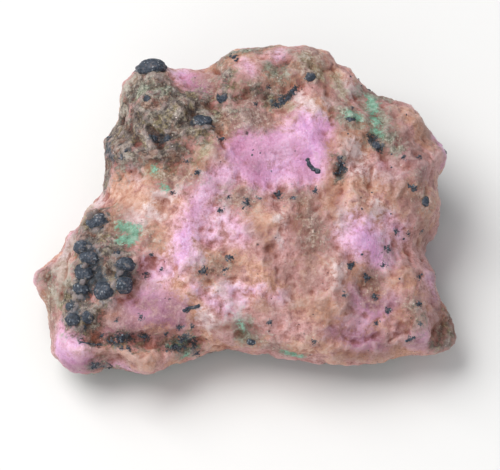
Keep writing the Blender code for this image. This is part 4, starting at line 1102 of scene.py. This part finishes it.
tree = BVHTree.FromObject(stone, bpy.context.evaluated_depsgraph_get())
draw = random.Random(grainShape["seed"])
fullTurn = 6.28
apart = 0.01  # metres between the models, so that each takes another part of the patterns
aboveStone = 0.3
bigModels = [
    lumpyBall(
        "bigBall%d" % number, ballShape["fineness"], (apart * number, 0.0, aboveStone),
        ballShape["dents"], ballShape["knobs"],
    )
    for number in range(ballShape["models"])
]
copies = []
for number, (middle, up, (_, _, radius, wide, tall)) in enumerate(zip(ballMiddles, ballUps, ballSizes)):
    turn = [draw.uniform(0.0, fullTurn) for _ in range(3)]
    model = bigModels[number % len(bigModels)]
    copied = copyBall(model, Vector(), radius * ballShape["radiusShare"], turn)
    spots = meshPoints(copied)
    for axis, share in ((faceAcross, wide), (faceUp, tall), (up, ballShape["flatness"])):
        spots += (share - 1.0) * (spots @ axis)[:, None] * axis
    placePoints(copied, spots + (middle + up * ballShape["raised"] * radius) * mm)
    copies.append(copied)
balls = joinAs("dark_balls", copies, bigModels)
balls.data.shade_smooth()
heights = np.array([tree.find_nearest(Vector(spot))[3] for spot in meshPoints(balls)]) / mm
saveMask(balls, "foot", smoothStep(ballShape["footHeight"], 0.0, heights))

grainModels = [
    lumpyBall(
        "grain%d" % number, grainShape["fineness"], (apart * number, 2 * apart, aboveStone),
        grainShape["dents"],
    )
    for number in range(grainShape["models"])
]
copies = []


def addGrain(place, normal, radius):
    middle = place - normal * radius * grainShape["sunk"] * mm
    turn = [draw.uniform(0.0, fullTurn) for _ in range(3)]
    model = grainModels[len(copies) % len(grainModels)]
    copies.append(copyBall(model, middle, radius, turn, draw.uniform(*grainShape["squash"])))


def grainsOfSpot(radius):
    # offsets and radii of the grains that make up a spot
    if radius < grainShape["alone"]:
        return [(0.0, 0.0, radius)]
    parts = [(0.0, 0.0, grainShape["middle"] * radius)]
    least, more = grainShape["count"]
    for _ in range(least + round(more * radius)):
        angle = draw.uniform(0.0, fullTurn)
        gap = radius * draw.uniform(*grainShape["around"])
        size = radius * draw.uniform(*grainShape["sizes"])
        parts.append((gap * math.cos(angle), gap * math.sin(angle), size))
    return parts


spread = grainShape["stepSpread"]
for path, radius in darkLines:
    for start, end in zip(path, path[1:]):
        acrossRun, downRun = end[0] - start[0], end[1] - start[1]
        steps = max(2, round(math.hypot(acrossRun, downRun) / (grainShape["step"] * radius)))
        for step in range(steps):
            share = (step + draw.uniform(-spread, spread)) / steps
            place, normal = faceHit(tree, start[0] + share * acrossRun, start[1] + share * downRun)
            addGrain(place, normal, radius * draw.uniform(*grainShape["lineSizes"]))
for across, down, radius in darkSpots:
    for aside, below, part in grainsOfSpot(radius):
        place, normal = faceHit(tree, across + aside, down + below)
        if place is not None:
            addGrain(place, normal, part)

stonePoints, stoneNormals = meshPoints(stone), meshNormals(stone)
turnedAway, lowest = grainShape["hiddenFrom"]
hidden = np.flatnonzero((stoneNormals @ faceOut < turnedAway) & (stonePoints[:, 2] > lowest * mm))
smallest, largest = grainShape["hiddenSizes"]
for _ in range(grainShape["hiddenCount"]):
    index = hidden[draw.randrange(len(hidden))]
    spot, normal = Vector(stonePoints[index]), Vector(stoneNormals[index])
    side = normal.orthogonal().normalized()
    other = normal.cross(side)
    radius = smallest + (largest - smallest) * draw.random() ** 2  # small ones more often
    for aside, below, part in grainsOfSpot(radius):
        place, upright, _, _ = tree.find_nearest(spot + (aside * side + below * other) * mm)
        addGrain(place, upright, part)
darkGrains = joinAs("dark_grains", copies, grainModels)
darkGrains.data.shade_flat()
print("dark balls and grains set:", len(balls.data.polygons), len(darkGrains.data.polygons), "faces")

ballLook = {
    "colours": [(0.22, (28, 34, 43)), (0.50, (52, 61, 74)), (0.70, (74, 84, 97)), (0.90, (122, 129, 134))],
    "dust": (122, 104, 96),
    "glint": (176, 184, 190),
    "roughness": 0.60,
    "reliefHeight": 0.06,  # mm
}


def makeDarkMaterial(name, footed):
    material = bpy.data.materials.new(name)
    material.use_nodes = True
    nodeTree = material.node_tree
    shader = nodeTree.nodes["Principled BSDF"]
    place = objectPlace(nodeTree)
    broad = noiseNode(nodeTree, place, 0.7, 3.0, 0.6)
    fineNoise = noiseNode(nodeTree, place, 0.20, 3.0, 0.6)
    grain = placeGroup(nodeTree, grains, Place=place, Density=6.0)
    tone = mixedNoise(nodeTree, [(broad, 0.9), (fineNoise, 0.9), (grain.outputs["Tone"], 0.2)])
    colour = colourRamp(nodeTree, tone, ballLook["colours"])
    dustNoise = mixedNoise(nodeTree, [(broad, 1.4), (fineNoise, 1.2)])
    dust = rangeOf(nodeTree, dustNoise, 0.58, 0.80, 0.0, 0.5)
    colour = blendColours(nodeTree, dust, colour, asColour(ballLook["dust"]))
    if footed:
        foot = addNode(nodeTree.nodes, "ShaderNodeAttribute", attribute_name="foot").outputs["Fac"]
        edge = calculate(nodeTree, "MULTIPLY_ADD", fineNoise, 1.4, -0.7)
        climbing = rangeOf(nodeTree, calculate(nodeTree, "ADD", foot, edge), 0.35, 0.75, 0.0, 0.9)
        rock = colourRamp(nodeTree, tone, stoneColours["rock"])
        colour = blendColours(nodeTree, climbing, colour, rock)
    # painted glints: a few grains of each ball get a pale colour, as if they caught the light
    glint = calculate(nodeTree, "MULTIPLY", grain.outputs["Glint"], 0.4)
    colour = blendColours(nodeTree, glint, colour, asColour(ballLook["glint"]))
    feed(nodeTree, shader.inputs["Base Color"], colour)
    roughness = calculate(nodeTree, "MULTIPLY_ADD", fineNoise, 0.3, ballLook["roughness"] - 0.15)
    roughness = calculate(nodeTree, "MULTIPLY_ADD", grain.outputs["Glint"], -0.2, roughness, True)
    feed(nodeTree, shader.inputs["Roughness"], roughness)
    height = calculate(nodeTree, "MULTIPLY", fineNoise, 0.8)
    height = calculate(nodeTree, "MULTIPLY_ADD", grain.outputs["Height"], 0.5, height)
    bump = addNode(nodeTree.nodes, "ShaderNodeBump")
    bump.inputs["Distance"].default_value = ballLook["reliefHeight"] * mm
    feed(nodeTree, bump.inputs["Height"], height)
    nodeTree.links.new(bump.outputs["Normal"], shader.inputs["Normal"])
    return material


for piece, name, footed in ((balls, "darkBallMineral", True), (darkGrains, "darkGrainMineral", False)):
    material = makeDarkMaterial(name, footed)
    piece.data.materials.clear()
    piece.data.materials.append(material)
    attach(piece, "root")


# Floor, lights and camera
setting = {
    "floorColour": (236, 235, 232),
    "worldColour": (0.92, 0.94, 1.0),
    "worldStrength": 0.40,
    "keyFrom": (-0.26, 0.12, 0.42),  # metres from the stone
    "keySize": 0.42,
    "keyPower": 2.7,
    "fillFrom": (-0.10, -0.40, 0.30),
    "fillSize": 0.40,
    "fillPower": 0.6,
}

bpy.ops.object.select_all(action="DESELECT")
bpy.ops.mesh.primitive_plane_add(size=3.0, location=(0.0, 0.0, 0.0))
floor = bpy.context.object
floor.name = "floor"
floorMaterial = bpy.data.materials.new("paleFloor")
floorMaterial.use_nodes = True
floorShader = floorMaterial.node_tree.nodes["Principled BSDF"]
floorShader.inputs["Base Color"].default_value = asColour(setting["floorColour"])
floorShader.inputs["Roughness"].default_value = 0.85
floor.data.materials.append(floorMaterial)

world = bpy.data.worlds.new("studio")
bpy.context.scene.world = world
world.use_nodes = True
background = world.node_tree.nodes["Background"]
background.inputs["Color"].default_value = (*setting["worldColour"], 1.0)
background.inputs["Strength"].default_value = setting["worldStrength"]


def addSoftLight(name, place, size, power):
    light = bpy.data.lights.new(name, "AREA")
    light.size = size
    light.energy = power
    lamp = bpy.data.objects.new(name, light)
    bpy.context.scene.collection.objects.link(lamp)
    lamp.location = place
    aim = Vector((0.0, 0.0, viewing["middleHeight"] * mm)) - Vector(place)
    lamp.rotation_euler = aim.to_track_quat("-Z", "Y").to_euler()
    return lamp


addSoftLight("keyLight", setting["keyFrom"], setting["keySize"], setting["keyPower"])
addSoftLight("fillLight", setting["fillFrom"], setting["fillSize"], setting["fillPower"])

camera = bpy.data.cameras.new("camera")
camera.lens = viewing["lensLength"]
camera.clip_start = 0.01
cameraObject = bpy.data.objects.new("camera", camera)
bpy.context.scene.collection.objects.link(cameraObject)
bpy.context.scene.camera = cameraObject
distance = viewing["pictureWidth"] * camera.lens / camera.sensor_width
heightOut = viewing["middleHeight"] * math.sin(lookDown)
axes = Matrix((faceAcross, faceUp, faceOut)).transposed().to_4x4()
axes.translation = onFace(*viewing["pictureMiddle"], distance + heightOut)
cameraObject.matrix_world = axes
bpy.context.scene.view_settings.view_transform = "Standard"
print("floor, lights and camera placed")
